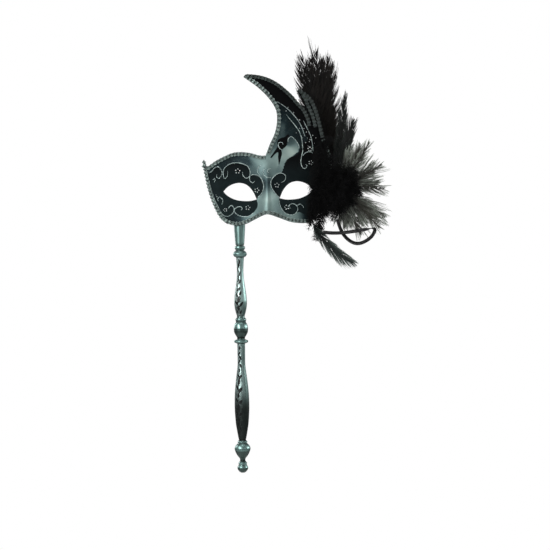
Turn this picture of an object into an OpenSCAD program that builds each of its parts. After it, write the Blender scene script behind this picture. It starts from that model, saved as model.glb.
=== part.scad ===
// Venetian half mask on a turned handle, with a feather spray and a ribbon loop at one temple.
// Millimetres. The handle stands on +Z, the face looks along -Y, +X is to the viewer's right.
// The origin is on the handle's axis, at the middle of the lower grip.

/* [Mask] */
// Width of the mask from temple to temple
mask_w = 165; // [140:1:200]
// Height from the lowest edge to the tip of the crescent
mask_h = 190; // [160:1:230]
// Height of the mask's lowest edge above the middle of the grip
mask_z = 220; // [216:1:236]
// Distance from the handle's axis to the line of the nose
handle_inset = 36.5; // [30:0.5:44]
// Thickness of the moulded shell
shell_t = 2.5; // [1.5:0.1:4]
// Thickness of the felt behind the shell
lining_t = 0.8; // [0.4:0.1:1.6]
// Distance from the shell's edge to the felt's edge
lining_inset = 3; // [2:0.5:6]
// Radius of the curve that wraps the shell round a face
wrap_r = 110; // [104:1:160]
// How far the ridge of the nose stands forward
nose_h = 10; // [6:0.5:15]
// How far the eye sockets sink in
socket_d = 3; // [1:0.5:5]
// How far the crescent leans back for each millimetre of height
crest_lean = 0.08; // [0:0.01:0.15]

/* [Braid] */
// Width of the gimp braid
braid_w = 4.4; // [3:0.2:6]
// Thickness of the gimp braid
braid_t = 1.8; // [1:0.1:2.6]
// Thickness of the glue under a glued piece
glue_t = 0.3; // [0.2:0.05:0.5]

/* [Handle] */
// Radius of the plain tube at the top of the handle
tube_r = 7; // [5:0.25:9]
// How far the tube reaches up behind the shell
tube_reach = 22; // [16:1:24]
// Radius of the two long spindles at their fullest
grip_r = 9.2; // [7.5:0.1:11]
// Radius of the ball at the foot
ball_r = 10; // [8.5:0.5:12]
// Radius of the flat where the handle was parted off
foot_r = 2.4; // [1.5:0.1:3]

/* [Feathers] */
// Turn of the spray away from the front, in degrees
spray_turn = 25; // [15:1:32]
// Thickness of a feather's solid
feather_t = 0.9; // [0.6:0.1:1]
// Distance from one feather's middle to the next one's
layer_pitch = 1.3; // [1.3:0.05:1.6]
// Length of the tall plume
plume_len = 184; // [140:1:220]
// Width of one plume feather
plume_w = 33; // [20:1:38]
// Length of the longer side feather
side_len = 122; // [90:1:140]
// Length of a fan feather
fan_len = 66; // [50:1:80]
// Length of the hanging feather
hanging_len = 74; // [60:1:100]
// Radius of the fluffy rosette
rosette_r = 28; // [20:1:32]
// Depth of the fluffy rosette
rosette_d = 12; // [8:1:16]
// Radius of the felt disc behind the rosette
disc_r = 15; // [10:1:18]

/* [Ribbon] */
// Width of the satin ribbon
ribbon_w = 4.4; // [3:0.2:8]
// Thickness of the ribbon's solid
ribbon_t = 1; // [0.6:0.1:1.4]

/* [Hidden] */
$fn = 48;
TRIMS = ["brow_braid", "crest_inner_braid", "crest_outer_braid", "horn_inner_braid",
         "horn_outer_braid", "right_braid", "bottom_braid", "left_braid"];
PLUMES = ["plume_left", "plume_middle", "plume_right"];
SIDES = ["side_feather_long", "side_feather_short"];
FANS = ["fan_feather_1", "fan_feather_2", "fan_feather_3", "fan_feather_4",
        "fan_feather_5", "fan_feather_6", "fan_feather_7", "fan_feather_8"];
TUFTS = ["temple_tuft_1", "temple_tuft_2", "temple_tuft_3"];

SILVER = [0.55, 0.66, 0.66];
BLACK = [0.06, 0.07, 0.07];
INK = [0.12, 0.12, 0.13];
GLUE = [0.85, 0.82, 0.7];

// ---- curves ----

// The edges are drawn on a mask of this width and height, from the nose line and the lowest edge
DRAWN_W = 165;
DRAWN_H = 190;
EDGE_STEPS = 3;

// The mask's outline, clockwise from the spur at the viewer's left temple, one list for each edge
BROW = [[-81, 86], [-76.5, 77], [-64, 83.5], [-46, 91], [-34, 92.3], [-22, 90.8], [-10, 87.4], [-2.6, 87]];
CREST_INNER = [[-2.6, 87], [3.2, 101.7], [9.5, 115.7], [12.4, 131.5], [10.8, 145.5], [2.2, 159.6],
               [-11.7, 173.8], [-29, 187]];
CREST_OUTER = [[-29, 187], [-24, 190], [-4.4, 187], [13, 179], [30.4, 164.5], [43, 149.5]];
HORN_INNER = [[43, 149.5], [48, 150.5], [45.6, 157.7], [38, 168.5]];
HORN_OUTER = [[38, 168.5], [41, 170.6], [50.4, 165.2], [58.9, 154.6], [65.5, 136], [71.3, 110.4]];
RIGHT = [[71.3, 110.4], [76.5, 97], [80.5, 82], [76.5, 50], [69.8, 29], [61.2, 11.5], [52.5, 3.4]];
BOTTOM = [[52.5, 3.4], [42, 2.6], [28, 4.1], [14, 9], [1, 13.2], [-6, 12.5], [-17.5, 7.3], [-28, 2.4],
          [-40, 0.6], [-52.5, 3.4]];
LEFT = [[-52.5, 3.4], [-61.2, 11.5], [-69.8, 29], [-76.5, 50], [-82.2, 80], [-81, 86]];
EDGES = [BROW, CREST_INNER, CREST_OUTER, HORN_INNER, HORN_OUTER, RIGHT, BOTTOM, LEFT];

// The braids follow the edges, but two of them run on down the face below the notch between the horns
CREST_OUTER_BRAID = [[-29, 187], [-24, 190], [-4.4, 187], [13, 179], [30.4, 164.5], [39.5, 154], [46, 147.4],
                     [49.4, 142], [53.6, 132], [54.6, 125]];
HORN_INNER_BRAID = [[57.4, 123], [56, 131], [53.6, 138.5], [50.6, 145.5], [48, 151], [45.6, 157.7], [38, 168.5]];
BRAIDED = [BROW, CREST_INNER, CREST_OUTER_BRAID, HORN_INNER_BRAID, HORN_OUTER, RIGHT, BOTTOM, LEFT];
// Where each braid starts after its line's first point and stops before the last
TRIM_CUTS = [[11.5, 3.6], [3.6, 1], [14, 0], [0, 11], [1.5, 1], [1, 1], [1, 1], [1, 1]];

// Half an eye hole's lower and upper lid, from the inner corner out and back
LOWER_LID = [[14.3, 33.2], [22.5, 31.6], [31, 31.8], [39.5, 33.2], [47, 36.4], [52.5, 40.3], [56.2, 44.6]];
UPPER_LID = [[56.2, 44.6], [51, 49.8], [44, 53.3], [36.1, 54.6], [28.7, 52.9], [22.9, 48.7], [18.1, 42],
             [14.3, 33.2]];
EYE_MID = [35.5, 43];
// The mask is canted a little, so the two eyes differ in height
EYE_CANT = 0.6;

function before(p, i) = i > 0 ? p[i - 1] : 2 * p[0] - p[1];
function after(p, i) = i < len(p) - 2 ? p[i + 2] : 2 * p[len(p) - 1] - p[len(p) - 2];
function blend(a, b, c, d, t) =
    0.5 * (2 * b + (c - a) * t + (2 * a - 5 * b + 4 * c - d) * t * t + (3 * b - a - 3 * c + d) * t * t * t);
// A smooth curve through the points of p, without its last point
function smooth(p, n) =
    [for (i = [0 : len(p) - 2], k = [0 : n - 1]) blend(before(p, i), p[i], p[i + 1], after(p, i), k / n)];
function smooth_whole(p, n) = concat(smooth(p, n), [p[len(p) - 1]]);

function place(p) = [handle_inset + p[0] * mask_w / DRAWN_W, mask_z + p[1] * mask_h / DRAWN_H];
function place_all(list) = [for (p = list) place(p)];
function joined(lists) = [for (l = lists) each l];
outline = joined([for (e = EDGES) smooth(place_all(e), EDGE_STEPS)]);
function eye_point(p, side) = [side * p[0], p[1] + side * EYE_CANT];
function eye_outline(side) =
    place_all([for (p = concat(smooth(LOWER_LID, 2), smooth(UPPER_LID, 2))) eye_point(p, side)]);

// ---- the face's surface ----

function gauss(u) = exp(-u * u);
function ramp(u) = let (t = min(max(u, 0), 1)) t * t * (3 - 2 * t);
function wrap(x) = let (d = min(abs(x - handle_inset), wrap_r - 1)) wrap_r - sqrt(wrap_r * wrap_r - d * d);
function nose(x, z) =
    let (up = (z - mask_z) / mask_h * DRAWN_H, side = (x - handle_inset) / mask_w * DRAWN_W)
    -nose_h * gauss(side / (13 - 5 * ramp((up - 10) / 40))) * (1 - ramp((up - 38) / 50));
function socket(x, z, side) =
    let (c = place(eye_point(EYE_MID, side))) socket_d * gauss((x - c[0]) / 24) * gauss((z - c[1]) / 14);
function brow(x, z) =
    let (up = (z - mask_z) / mask_h * DRAWN_H, side = (x - handle_inset) / mask_w * DRAWN_W)
    -2.2 * gauss((up - 66) / 10) * (gauss((side - 36) / 22) + gauss((side + 36) / 22));
function lean(z) = crest_lean * max(z - mask_z - 85, 0);
function relief(x, z) = wrap(x) + nose(x, z) + socket(x, z, -1) + socket(x, z, 1) + brow(x, z) + lean(z);

tube_top = mask_z + tube_reach;
// The shell stands in front of the tube, which its felt just clears: this is the slope there
slope = (relief(1, tube_top) - relief(-1, tube_top)) / 2;
shell_y = -relief(0, tube_top) - (tube_r + glue_t) * sqrt(1 + slope * slope) - lining_t - shell_t;
function front(x, z) = shell_y + relief(x, z);

// ---- the sheets that follow the surface ----

// The grid that every sheet is cut from
GRID = 5;
GRID_X = [floor((handle_inset - mask_w / 2) / GRID) - 2, ceil((handle_inset + mask_w / 2) / GRID) + 2];
GRID_Z = [floor(mask_z / GRID) - 2, ceil((mask_z + mask_h) / GRID) + 2];

// A sheet over the grid's cells from gx[0] to gx[1] and gz[0] to gz[1], between two depths
// behind the face's front
module sheet(gx, gz, near, far) {
    nx = gx[1] - gx[0] + 1;
    nz = gz[1] - gz[0] + 1;
    function at(i, j, side) = side * nx * nz + j * nx + i;
    points = [for (side = [0, 1], j = [0 : nz - 1], i = [0 : nx - 1])
        let (x = (gx[0] + i) * GRID, z = (gz[0] + j) * GRID)
        [x, front(x, z) + (side == 0 ? near : far), z]];
    faces = concat(
        [for (j = [0 : nz - 2], i = [0 : nx - 2], f = [
            [at(i, j, 0), at(i + 1, j + 1, 0), at(i + 1, j, 0)],
            [at(i, j, 0), at(i, j + 1, 0), at(i + 1, j + 1, 0)],
            [at(i, j, 1), at(i + 1, j, 1), at(i + 1, j + 1, 1)],
            [at(i, j, 1), at(i + 1, j + 1, 1), at(i, j + 1, 1)]]) f],
        [for (i = [0 : nx - 2], f = [
            [at(i, 0, 0), at(i + 1, 0, 0), at(i + 1, 0, 1), at(i, 0, 1)],
            [at(i + 1, nz - 1, 0), at(i, nz - 1, 0), at(i, nz - 1, 1), at(i + 1, nz - 1, 1)]]) f],
        [for (j = [0 : nz - 2], f = [
            [at(0, j + 1, 0), at(0, j, 0), at(0, j, 1), at(0, j + 1, 1)],
            [at(nx - 1, j, 0), at(nx - 1, j + 1, 0), at(nx - 1, j + 1, 1), at(nx - 1, j, 1)]]) f]);
    polyhedron(points, faces);
}

// An outline drawn in x and z, as a block through the whole depth
DEPTH = 200;
module through() {
    translate([0, DEPTH / 2, 0]) rotate([90, 0, 0]) linear_extrude(DEPTH) children();
}

module mask_outline(inset) {
    difference() {
        offset(delta = -inset) polygon(outline);
        for (side = [-1, 1]) offset(delta = inset) polygon(eye_outline(side));
    }
}

module mask_shell() {
    color(SILVER) render() intersection() {
        sheet(GRID_X, GRID_Z, 0, shell_t);
        through() mask_outline(0);
    }
}

module felt_lining() {
    color(BLACK) render() intersection() {
        sheet(GRID_X, GRID_Z, shell_t, shell_t + lining_t);
        through() mask_outline(lining_inset);
    }
}

// ---- the braids ----

function unit(v) = v / norm(v);
function along(p, i) = unit(p[min(i + 1, len(p) - 1)] - p[max(i - 1, 0)]);
// The face lies to the right of its clockwise outline
function inward(p, i) = let (t = along(p, i)) [t[1], -t[0]];
function run(p, i) = i == 0 ? 0 : run(p, i - 1) + norm(p[i] - p[i - 1]);
function cut(p, ends) =
    let (whole = run(p, len(p) - 1))
    [for (i = [0 : len(p) - 1]) if (run(p, i) >= ends[0] && run(p, i) <= whole - ends[1]) p[i]];

// Four corners of the braid's section at a point: two on the glue and two on its face
BRAID_TOP = 0.6;
function braid_ring(p, n) =
    [for (c = [[0, 0], [1, 0], [0.5 + BRAID_TOP / 2, 1], [0.5 - BRAID_TOP / 2, 1]])
        let (q = p + n * braid_w * (c[0] + 0.06))
        [q[0], front(q[0], q[1]) - glue_t - c[1] * braid_t, q[1]]];

// A closed tube through rings of equal length
module skin(rings) {
    n = len(rings[0]);
    last = len(rings) - 1;
    points = joined(rings);
    sides = [for (i = [0 : last - 1], k = [0 : n - 1]) let (m = (k + 1) % n)
        each [[i * n + k, i * n + m, (i + 1) * n + m], [i * n + k, (i + 1) * n + m, (i + 1) * n + k]]];
    polyhedron(points, concat([[for (k = [n - 1 : -1 : 0]) k]], sides, [[for (k = [0 : n - 1]) last * n + k]]));
}

module braid(i) {
    edge = smooth_whole(place_all(BRAIDED[i]), 4);
    kept = cut(edge, TRIM_CUTS[i]);
    color(SILVER) skin([for (k = [0 : len(kept) - 1]) braid_ring(kept[k], inward(kept, k))]);
}

// ---- the handle ----

// Height of the foot's flat
FOOT_Z = -89.4;
// Radii and heights of the turned members, from the tube down: each list is one smooth stretch,
// and the stretches meet in sharp corners
MEMBERS = [
    [[tube_r, tube_top], [tube_r, mask_z], [5.6, 197.5]],
    [[4.8, 196.4], [4.8, 195.6]],
    [[6.2, 194.6], [6.6, 193], [6.2, 191.4]],
    [[5.3, 190.4], [5.3, 189.4]],
    [[7.4, 188], [8.7, 185], [7.4, 182.2]],
    [[5, 181], [4.6, 176], [4.1, 166], [4.3, 158], [5.2, 149], [6.9, 137.5], [7.8, 129], [8, 124],
     [7.4, 117.5], [6.2, 112], [4.9, 107.6]],
    [[5.2, 105], [6.6, 103.8], [6.8, 102.4], [6.4, 101]],
    [[6.2, 99.6], [8, 96.6], [8.8, 93], [8.9, 90], [8.6, 87.2], [7.4, 84.4], [5, 80.4]],
    [[5, 78], [8.2, 76.8], [8.9, 75.4], [8.2, 74]],
    [[4.9, 72.6], [4.8, 60], [4.8, 48], [5.5, 40], [6.8, 30], [8.2, 17.5], [grip_r - 0.3, 8], [grip_r, -3],
     [grip_r - 0.2, -14], [8, -27.5], [6.9, -35], [5.6, -42.5], [4.4, -48.6]],
    [[5.6, -49.6], [6.2, -50.8], [5.6, -52]],
    [[6.4, -53.2], [ball_r - 1.4, -55.4], [ball_r, -59], [ball_r - 1, -63], [6.8, -67.5], [3.6, -71.8],
     [3.4, -74.5]],
    [[4.6, -76], [5.4, -77.4], [5, -79]],
    [[5.6, -80.4], [6.7, -83], [6.2, -85.6], [4.4, -88], [foot_r, FOOT_Z]]];

module turned() {
    rotate_extrude() polygon(concat([[0, tube_top]], joined([for (m = MEMBERS) smooth_whole(m, 4)]), [[0, FOOT_Z]]));
}

module handle() {
    color(SILVER) turned();
}

// ---- the glue ----

// The bed of glue that holds the tube against the felt
GLUE_CELLS_X = [-2, 2];
glue_cells_z = [ceil((mask_z + 5) / GRID), floor(tube_top / GRID)];
GLUE_BED_T = 7;
module handle_glue() {
    near = shell_t + lining_t;
    color(GLUE) render() difference() {
        sheet(GLUE_CELLS_X, glue_cells_z, near, near + GLUE_BED_T);
        turned();
    }
}

// ---- the feather spray ----

// The spray is built flat in its own frame: u runs to the right, v is up, and the layers stand one
// behind another from the front, back. Its origin is on the face of the shell at the temple.
ANCHOR = [67.5, 42];
anchor_at = place(ANCHOR);
anchor = [anchor_at[0], front(anchor_at[0], anchor_at[1]), anchor_at[1]];
module spray() {
    translate(anchor) rotate([0, 0, spray_turn]) children();
}
// A block in the spray's frame, between two depths, from an outline in u and v
module layer(depth, thick) {
    translate([0, depth + thick / 2, 0]) rotate([90, 0, 0]) linear_extrude(thick) children();
}

// Depth of each layer's middle, in layers behind the felt disc: 0 is the disc
DISC_DEPTH = -4.3;
DISC_T = 0.8;
function depth(n) = DISC_DEPTH + n * layer_pitch;

// A feather's outline from its root, turned from straight up by lean degrees, with its tip bowed
// sideways and its vane starting after a bare stretch of quill
QUILL_HALF = 0.8;
FEATHER_STEPS = 14;
function vane(s) = pow(max(sin(180 * pow(s, 0.8)), 0), 0.7);
function feather_spine(s, length, bow) = [bow * s * s, length * s];
function feather_edge(s, side, length, width, bow) =
    feather_spine(s, length, bow) + [side * (QUILL_HALF + (width / 2 - QUILL_HALF) * vane(s)), 0];
module feather(root, turn, length, width, bow, depth_at) {
    steps = [for (i = [0 : FEATHER_STEPS]) i / FEATHER_STEPS];
    right = [for (s = steps) feather_edge(s, 1, length, width, bow)];
    left = [for (i = [FEATHER_STEPS : -1 : 0]) feather_edge(steps[i], -1, length, width, bow)];
    spray() layer(depth_at, feather_t) translate(root) rotate(-turn) polygon(concat(left, right));
}

// Root, turn, share of the family's length, share of its width, bow and layer of each feather
PLUME_ROOT = [8, 4];
PLUME_LAYER = 13;
PLUME_SET = [[-3.5, 0.97, 0.97, -20], [1.5, 1, 1.06, -14], [7, 0.97, 0.9, -12]];
SIDE_ROOT = [24, 10];
SIDE_SET = [[5.2, 1, 14, 2, 5], [11, 0.72, 18, 8, 4]];
FAN_ROOT = [24, 8];
FAN_START = 9;
FAN_SET = [[28, 0.9, 17, 4], [44, 1.06, 16, -8], [70, 0.98, 22, -6], [88, 0.98, 18, 6],
           [118, 1.14, 20, 4], [133, 1.18, 22, 0], [150, 1.02, 22, 4], [172, 0.76, 19, 0]];
FAN_LAYERS = [3, 2, 1];
TUFT_SET = [[[-2, 30], 200, 78, 19, -8], [[-2, 4], 190, 68, 18, -4], [[-1, 68], 191, 88, 24, -2]];

module plume(i) {
    row = PLUME_SET[i];
    color(BLACK) feather(PLUME_ROOT, row[0], plume_len * row[1], plume_w * row[2], row[3],
                         depth(PLUME_LAYER + i * 1.5));
}

module side_feather(i) {
    row = SIDE_SET[i];
    color(INK) feather(SIDE_ROOT, row[0], side_len * row[1], row[2], row[3], depth(row[4]));
}

module fan_feather(i) {
    row = FAN_SET[i];
    root = FAN_ROOT + FAN_START * [sin(row[0]), cos(row[0])];
    color(INK) feather(root, row[0], (fan_len - FAN_START) * row[1], row[2], row[3], depth(FAN_LAYERS[i % 3]));
}

module tuft(i) {
    row = TUFT_SET[i];
    color(BLACK) feather(row[0], row[1], row[2], row[3], row[4], depth(-2 - i));
}

HANGING_ROOT = [-18, -41];
module hanging_feather() {
    color(INK) feather(HANGING_ROOT, 148, hanging_len, 10, -24, depth(-4.5));
}

DISC_AT = [9, 5];
module feather_disc() {
    color(BLACK) spray() layer(DISC_DEPTH, DISC_T) translate(DISC_AT) circle(disc_r);
}

// A fluffy rosette, as a cushion with a soft round edge
ROSETTE_AT = [22, 8];
rosette_back = depth(-4) - feather_t / 2 - glue_t;
module rosette() {
    quarter = [for (a = [0 : 10 : 90]) [rosette_r * pow(cos(a), 0.7), rosette_d * pow(sin(a), 0.8)]];
    color(BLACK) spray() translate([ROSETTE_AT[0], rosette_back, ROSETTE_AT[1]]) rotate([90, 0, 0])
        rotate_extrude() polygon(concat([[0, 0]], quarter));
}

// Glue between the shell's face and the disc, and behind the shell at the plume's root
FEATHER_GLUE_R = 5;
PLUME_GLUE_R = 6;
module glue_post(at, r, from, to) {
    spray() translate([at[0], to, at[1]]) rotate([90, 0, 0]) cylinder(h = to - from, r = r);
}
temple_cells_x = [floor((anchor[0] - 15) / GRID), ceil((anchor[0] + 30) / GRID)];
temple_cells_z = [floor((anchor[2] - 15) / GRID), ceil((anchor[2] + 25) / GRID)];
BEYOND = 12;
FEATHER_GLUE_AT = [-1.5, 4];
module feather_glue() {
    color(GLUE) render() difference() {
        glue_post(FEATHER_GLUE_AT, FEATHER_GLUE_R, DISC_DEPTH + DISC_T / 2, BEYOND);
        sheet(temple_cells_x, temple_cells_z, 0, 4 * BEYOND);
    }
}

module plume_glue() {
    near = shell_t + lining_t;
    color(GLUE) render() difference() {
        glue_post(PLUME_ROOT, PLUME_GLUE_R, -BEYOND, depth(PLUME_LAYER) - feather_t / 2 - glue_t);
        sheet(temple_cells_x, temple_cells_z, near - 4 * BEYOND, near);
    }
}

// ---- the ribbon ----

// The ribbon's route in the spray's frame: right, depth and up
RIBBON = [[-5, -12, -51], [6, -12.5, -52], [18, -13, -52], [30, -13, -51], [42, -12.5, -49.5], [54, -12, -47.8],
          [63, -11.5, -46.2], [68.5, -10.8, -46.3], [69.8, -9.8, -49.5], [67, -9, -55], [62, -8.5, -59.5],
          [56, -8.5, -62.8], [50, -8.5, -64.8], [44, -8.5, -65.2], [38, -8.5, -63.6], [32, -8.5, -60],
          [26.5, -8.5, -54.8], [22.5, -8.5, -48.5], [19.5, -8.5, -41.5], [17.2, -8.5, -34.5]];
function ribbon_side(p, i) = let (d = unit(p[min(i + 1, len(p) - 1)] - p[max(i - 1, 0)])) unit([-d[2], 0, d[0]]);
function ribbon_ring(p, i) =
    let (side = ribbon_side(p, i))
    [for (a = [22.5 : 45 : 360]) p[i] + side * ribbon_w / 2 * cos(a) + [0, ribbon_t / 2 * sin(a), 0]];
module ribbon_loop() {
    color(BLACK) spray() skin([for (i = [0 : len(RIBBON) - 1]) ribbon_ring(RIBBON, i)]);
}

mask_shell();
felt_lining();
handle();
handle_glue();
feather_glue();
feather_disc();
plume_glue();
rosette();
hanging_feather();
ribbon_loop();
for (i = [0 : len(TRIMS) - 1]) braid(i);
for (i = [0 : len(PLUMES) - 1]) plume(i);
for (i = [0 : len(SIDES) - 1]) side_feather(i);
for (i = [0 : len(FANS) - 1]) fan_feather(i);
for (i = [0 : len(TUFTS) - 1]) tuft(i);
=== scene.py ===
"""A painted half mask on a turned handle, with a feather spray and a ribbon loop at one temple.

Lengths are in millimetres until a piece is finished, which puts it in metres.
The face looks along -Y and the handle stands on +Z.
"""

import math
import random

import bmesh
import bpy
import numpy as np
from mathutils import Matrix, Vector


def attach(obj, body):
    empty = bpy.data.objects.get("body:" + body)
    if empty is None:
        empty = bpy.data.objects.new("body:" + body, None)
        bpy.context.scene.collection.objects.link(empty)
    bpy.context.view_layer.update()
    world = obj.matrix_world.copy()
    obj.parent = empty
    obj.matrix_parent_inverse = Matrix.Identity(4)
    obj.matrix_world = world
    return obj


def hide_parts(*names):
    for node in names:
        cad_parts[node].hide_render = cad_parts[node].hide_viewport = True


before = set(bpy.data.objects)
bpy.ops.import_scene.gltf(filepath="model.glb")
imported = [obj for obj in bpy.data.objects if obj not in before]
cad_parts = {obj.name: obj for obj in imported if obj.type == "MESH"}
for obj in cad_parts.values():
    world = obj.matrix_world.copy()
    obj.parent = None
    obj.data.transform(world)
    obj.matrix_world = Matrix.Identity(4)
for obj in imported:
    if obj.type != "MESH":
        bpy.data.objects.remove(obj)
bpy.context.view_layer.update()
scene = bpy.context.scene
MM = 0.001

# ---- the mask's measures, as the part has them ----

INSET_X, MASK_Z = 36.5, 220
SHELL_Y, SHELL_T = -17.6263, 2.5
LINING_T, LINING_INSET, GLUE_T = 0.8, 3, 0.3
WRAP_R, NOSE_H, CREST_LEAN = 110, 10, 0.08
SOCKET_D, SOCKET_W, SOCKET_H = 3, 24, 14
BROW_D, BROW_UP, BROW_SIDE, BROW_W, BROW_H = 2.2, 66, 36, 22, 10
BRAID_W = 4.4
SPRAY_AT, SPRAY_TURN = (104, 6.0185, 262), math.radians(25)
LAYER_PITCH, DISC_DEPTH = 1.3, -4.3

BROW = [(-81, 86), (-76.5, 77), (-64, 83.5), (-46, 91), (-34, 92.3), (-22, 90.8), (-10, 87.4), (-2.6, 87)]
CREST_INNER = [(-2.6, 87), (3.2, 101.7), (9.5, 115.7), (12.4, 131.5), (10.8, 145.5), (2.2, 159.6),
               (-11.7, 173.8), (-29, 187)]
CREST_OUTER = [(-29, 187), (-24, 190), (-4.4, 187), (13, 179), (30.4, 164.5), (43, 149.5)]
HORN_INNER = [(43, 149.5), (48, 150.5), (45.6, 157.7), (38, 168.5)]
HORN_OUTER = [(38, 168.5), (41, 170.6), (50.4, 165.2), (58.9, 154.6), (65.5, 136), (71.3, 110.4)]
RIGHT = [(71.3, 110.4), (76.5, 97), (80.5, 82), (76.5, 50), (69.8, 29), (61.2, 11.5), (52.5, 3.4)]
BOTTOM = [(52.5, 3.4), (42, 2.6), (28, 4.1), (14, 9), (1, 13.2), (-6, 12.5), (-17.5, 7.3), (-28, 2.4),
          (-40, 0.6), (-52.5, 3.4)]
LEFT = [(-52.5, 3.4), (-61.2, 11.5), (-69.8, 29), (-76.5, 50), (-82.2, 80), (-81, 86)]
EDGES = [BROW, CREST_INNER, CREST_OUTER, HORN_INNER, HORN_OUTER, RIGHT, BOTTOM, LEFT]
CREST_OUTER_BRAID = [(-29, 187), (-24, 190), (-4.4, 187), (13, 179), (30.4, 164.5), (39.5, 154),
                     (46, 147.4), (49.4, 142), (53.6, 132), (54.6, 125)]
HORN_INNER_BRAID = [(57.4, 123), (56, 131), (53.6, 138.5), (50.6, 145.5), (48, 151), (45.6, 157.7),
                    (38, 168.5)]
BRAIDS = {  # each braid's line, and what is cut from its start and its end
    "brow_braid": (BROW, 7, 0.6), "crest_inner_braid": (CREST_INNER, 2.4, 1),
    "crest_outer_braid": (CREST_OUTER_BRAID, 5, 0), "horn_inner_braid": (HORN_INNER_BRAID, 0, 7),
    "horn_outer_braid": (HORN_OUTER, 1.5, 1), "right_braid": (RIGHT, 1, 1),
    "bottom_braid": (BOTTOM, 1, 1), "left_braid": (LEFT, 1, 1)}
LOWER_LID = [(14.3, 33.2), (22.5, 31.6), (31, 31.8), (39.5, 33.2), (47, 36.4), (52.5, 40.3), (56.2, 44.6)]
UPPER_LID = [(56.2, 44.6), (51, 49.8), (44, 53.3), (36.1, 54.6), (28.7, 52.9), (22.9, 48.7), (18.1, 42),
             (14.3, 33.2)]
EYE_MID, EYE_CANT = (35.5, 43), 0.6


def smooth(points, steps):
    """A smooth curve through the points, with so many steps between each two."""
    p = np.array(points, float)
    ends = np.vstack([2 * p[0] - p[1], p, 2 * p[-1] - p[-2]])
    out = []
    for a, b, c, d in zip(ends, ends[1:], ends[2:], ends[3:]):
        for t in np.arange(steps) / steps:
            out.append(0.5 * (2 * b + (c - a) * t + (2 * a - 5 * b + 4 * c - d) * t ** 2
                              + (3 * b - a - 3 * c + d) * t ** 3))
    return np.array(out + [p[-1]])


def place(points):
    """Points that are measured from the nose line and the lowest edge, in x and z."""
    return np.asarray(points, float) + (INSET_X, MASK_Z)


def gauss(u):
    """A bell that is 1 in the middle and fades out over a distance of about 2."""
    return np.exp(-u * u)


def ramp(u):
    """Rises smoothly from 0 to 1 as u goes from 0 to 1, and stays level beyond."""
    t = np.clip(u, 0, 1)
    return t * t * (3 - 2 * t)


def front(x, z):
    """How far back the face's front is at x and z."""
    side, up = x - INSET_X, z - MASK_Z
    wrap = WRAP_R - np.sqrt(WRAP_R ** 2 - side ** 2)
    nose = -NOSE_H * gauss(side / (13 - 5 * ramp((up - 10) / 40))) * (1 - ramp((up - 38) / 50))
    sockets = sum(SOCKET_D * gauss((side - s * EYE_MID[0]) / SOCKET_W)
                  * gauss((up - EYE_MID[1] - s * EYE_CANT) / SOCKET_H) for s in (-1, 1))
    bulges = gauss((side - BROW_SIDE) / BROW_W) + gauss((side + BROW_SIDE) / BROW_W)
    brow = -BROW_D * gauss((up - BROW_UP) / BROW_H) * bulges
    return SHELL_Y + wrap + nose + sockets + brow + CREST_LEAN * np.maximum(up - 85, 0)


def on_face(points, lift):
    """Points in x and z put on the face and lifted off it, as x, y and z."""
    x, z = np.asarray(points, float).T
    step = 0.2
    slope_x = (front(x + step, z) - front(x - step, z)) / (2 * step)
    slope_z = (front(x, z + step) - front(x, z - step)) / (2 * step)
    off = np.stack([slope_x, -np.ones_like(x), slope_z], -1)
    off /= np.linalg.norm(off, axis=1)[:, None]
    return np.stack([x, front(x, z), z], -1) + off * np.broadcast_to(lift, x.shape)[:, None]


def outline():
    """The shell's closed outline, in x and z."""
    return np.vstack([smooth(place(e), 8)[:-1] for e in EDGES])


def eye(side):
    """The outline of one eye hole, in x and z: side is -1 or 1."""
    lids = np.vstack([smooth(LOWER_LID, 6)[:-1], smooth(UPPER_LID, 6)[:-1]])
    return place(np.stack([side * lids[:, 0], lids[:, 1] + side * EYE_CANT], -1))


def inside_by(points, polygon):
    """How far the points lie inside a closed outline: negative outside."""
    points, polygon = np.asarray(points, float), np.asarray(polygon, float)
    nearest = np.full(len(points), 1e9)
    inside = np.zeros(len(points), bool)
    for a, b in zip(polygon, np.roll(polygon, -1, 0)):
        along = b - a
        t = np.clip((points - a) @ along / max(along @ along, 1e-12), 0, 1)
        nearest = np.minimum(nearest, np.linalg.norm(points - a - t[:, None] * along, axis=1))
        crosses = (a[1] > points[:, 1]) != (b[1] > points[:, 1])
        rise = b[1] - a[1] if b[1] != a[1] else 1e-12
        inside ^= crosses & (points[:, 0] < a[0] + (points[:, 1] - a[1]) / rise * along[0])
    return np.where(inside, nearest, -nearest)


def spray(u, deep, v):
    """Points in the spray's own frame, right, depth and up, as x, y and z."""
    x, y, z = SPRAY_AT
    cos, sin = math.cos(SPRAY_TURN), math.sin(SPRAY_TURN)
    return np.stack([x + u * cos - deep * sin, y + u * sin + deep * cos, z + v], -1)


def depth(layer):
    """How deep a layer of the spray lies, in the spray's own frame."""
    return DISC_DEPTH + layer * LAYER_PITCH


# ---- camera, light and floor ----

CAMERA_AT, CAMERA_ROLL = (0.0437, -1.92, 0.1582), 0.01363
LIT_MIDDLE = (0.04, 0, 0.2)
FLOOR_RADIUS, FLOOR_Z = 0.9, -0.55


def camera():
    """The camera stands level in front of the mask, and is rolled a little."""
    data = bpy.data.cameras.new("camera")
    data.lens, data.sensor_width, data.clip_end = 100, 36, 50
    obj = bpy.data.objects.new("camera", data)
    scene.collection.objects.link(obj)
    x, y, z = CAMERA_AT
    roll = CAMERA_ROLL
    obj.matrix_world = Matrix(((1, roll, 0, x), (0, 0, -1, y), (-roll, 1, 0, z), (0, 0, 0, 1)))
    scene.camera = obj


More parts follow.
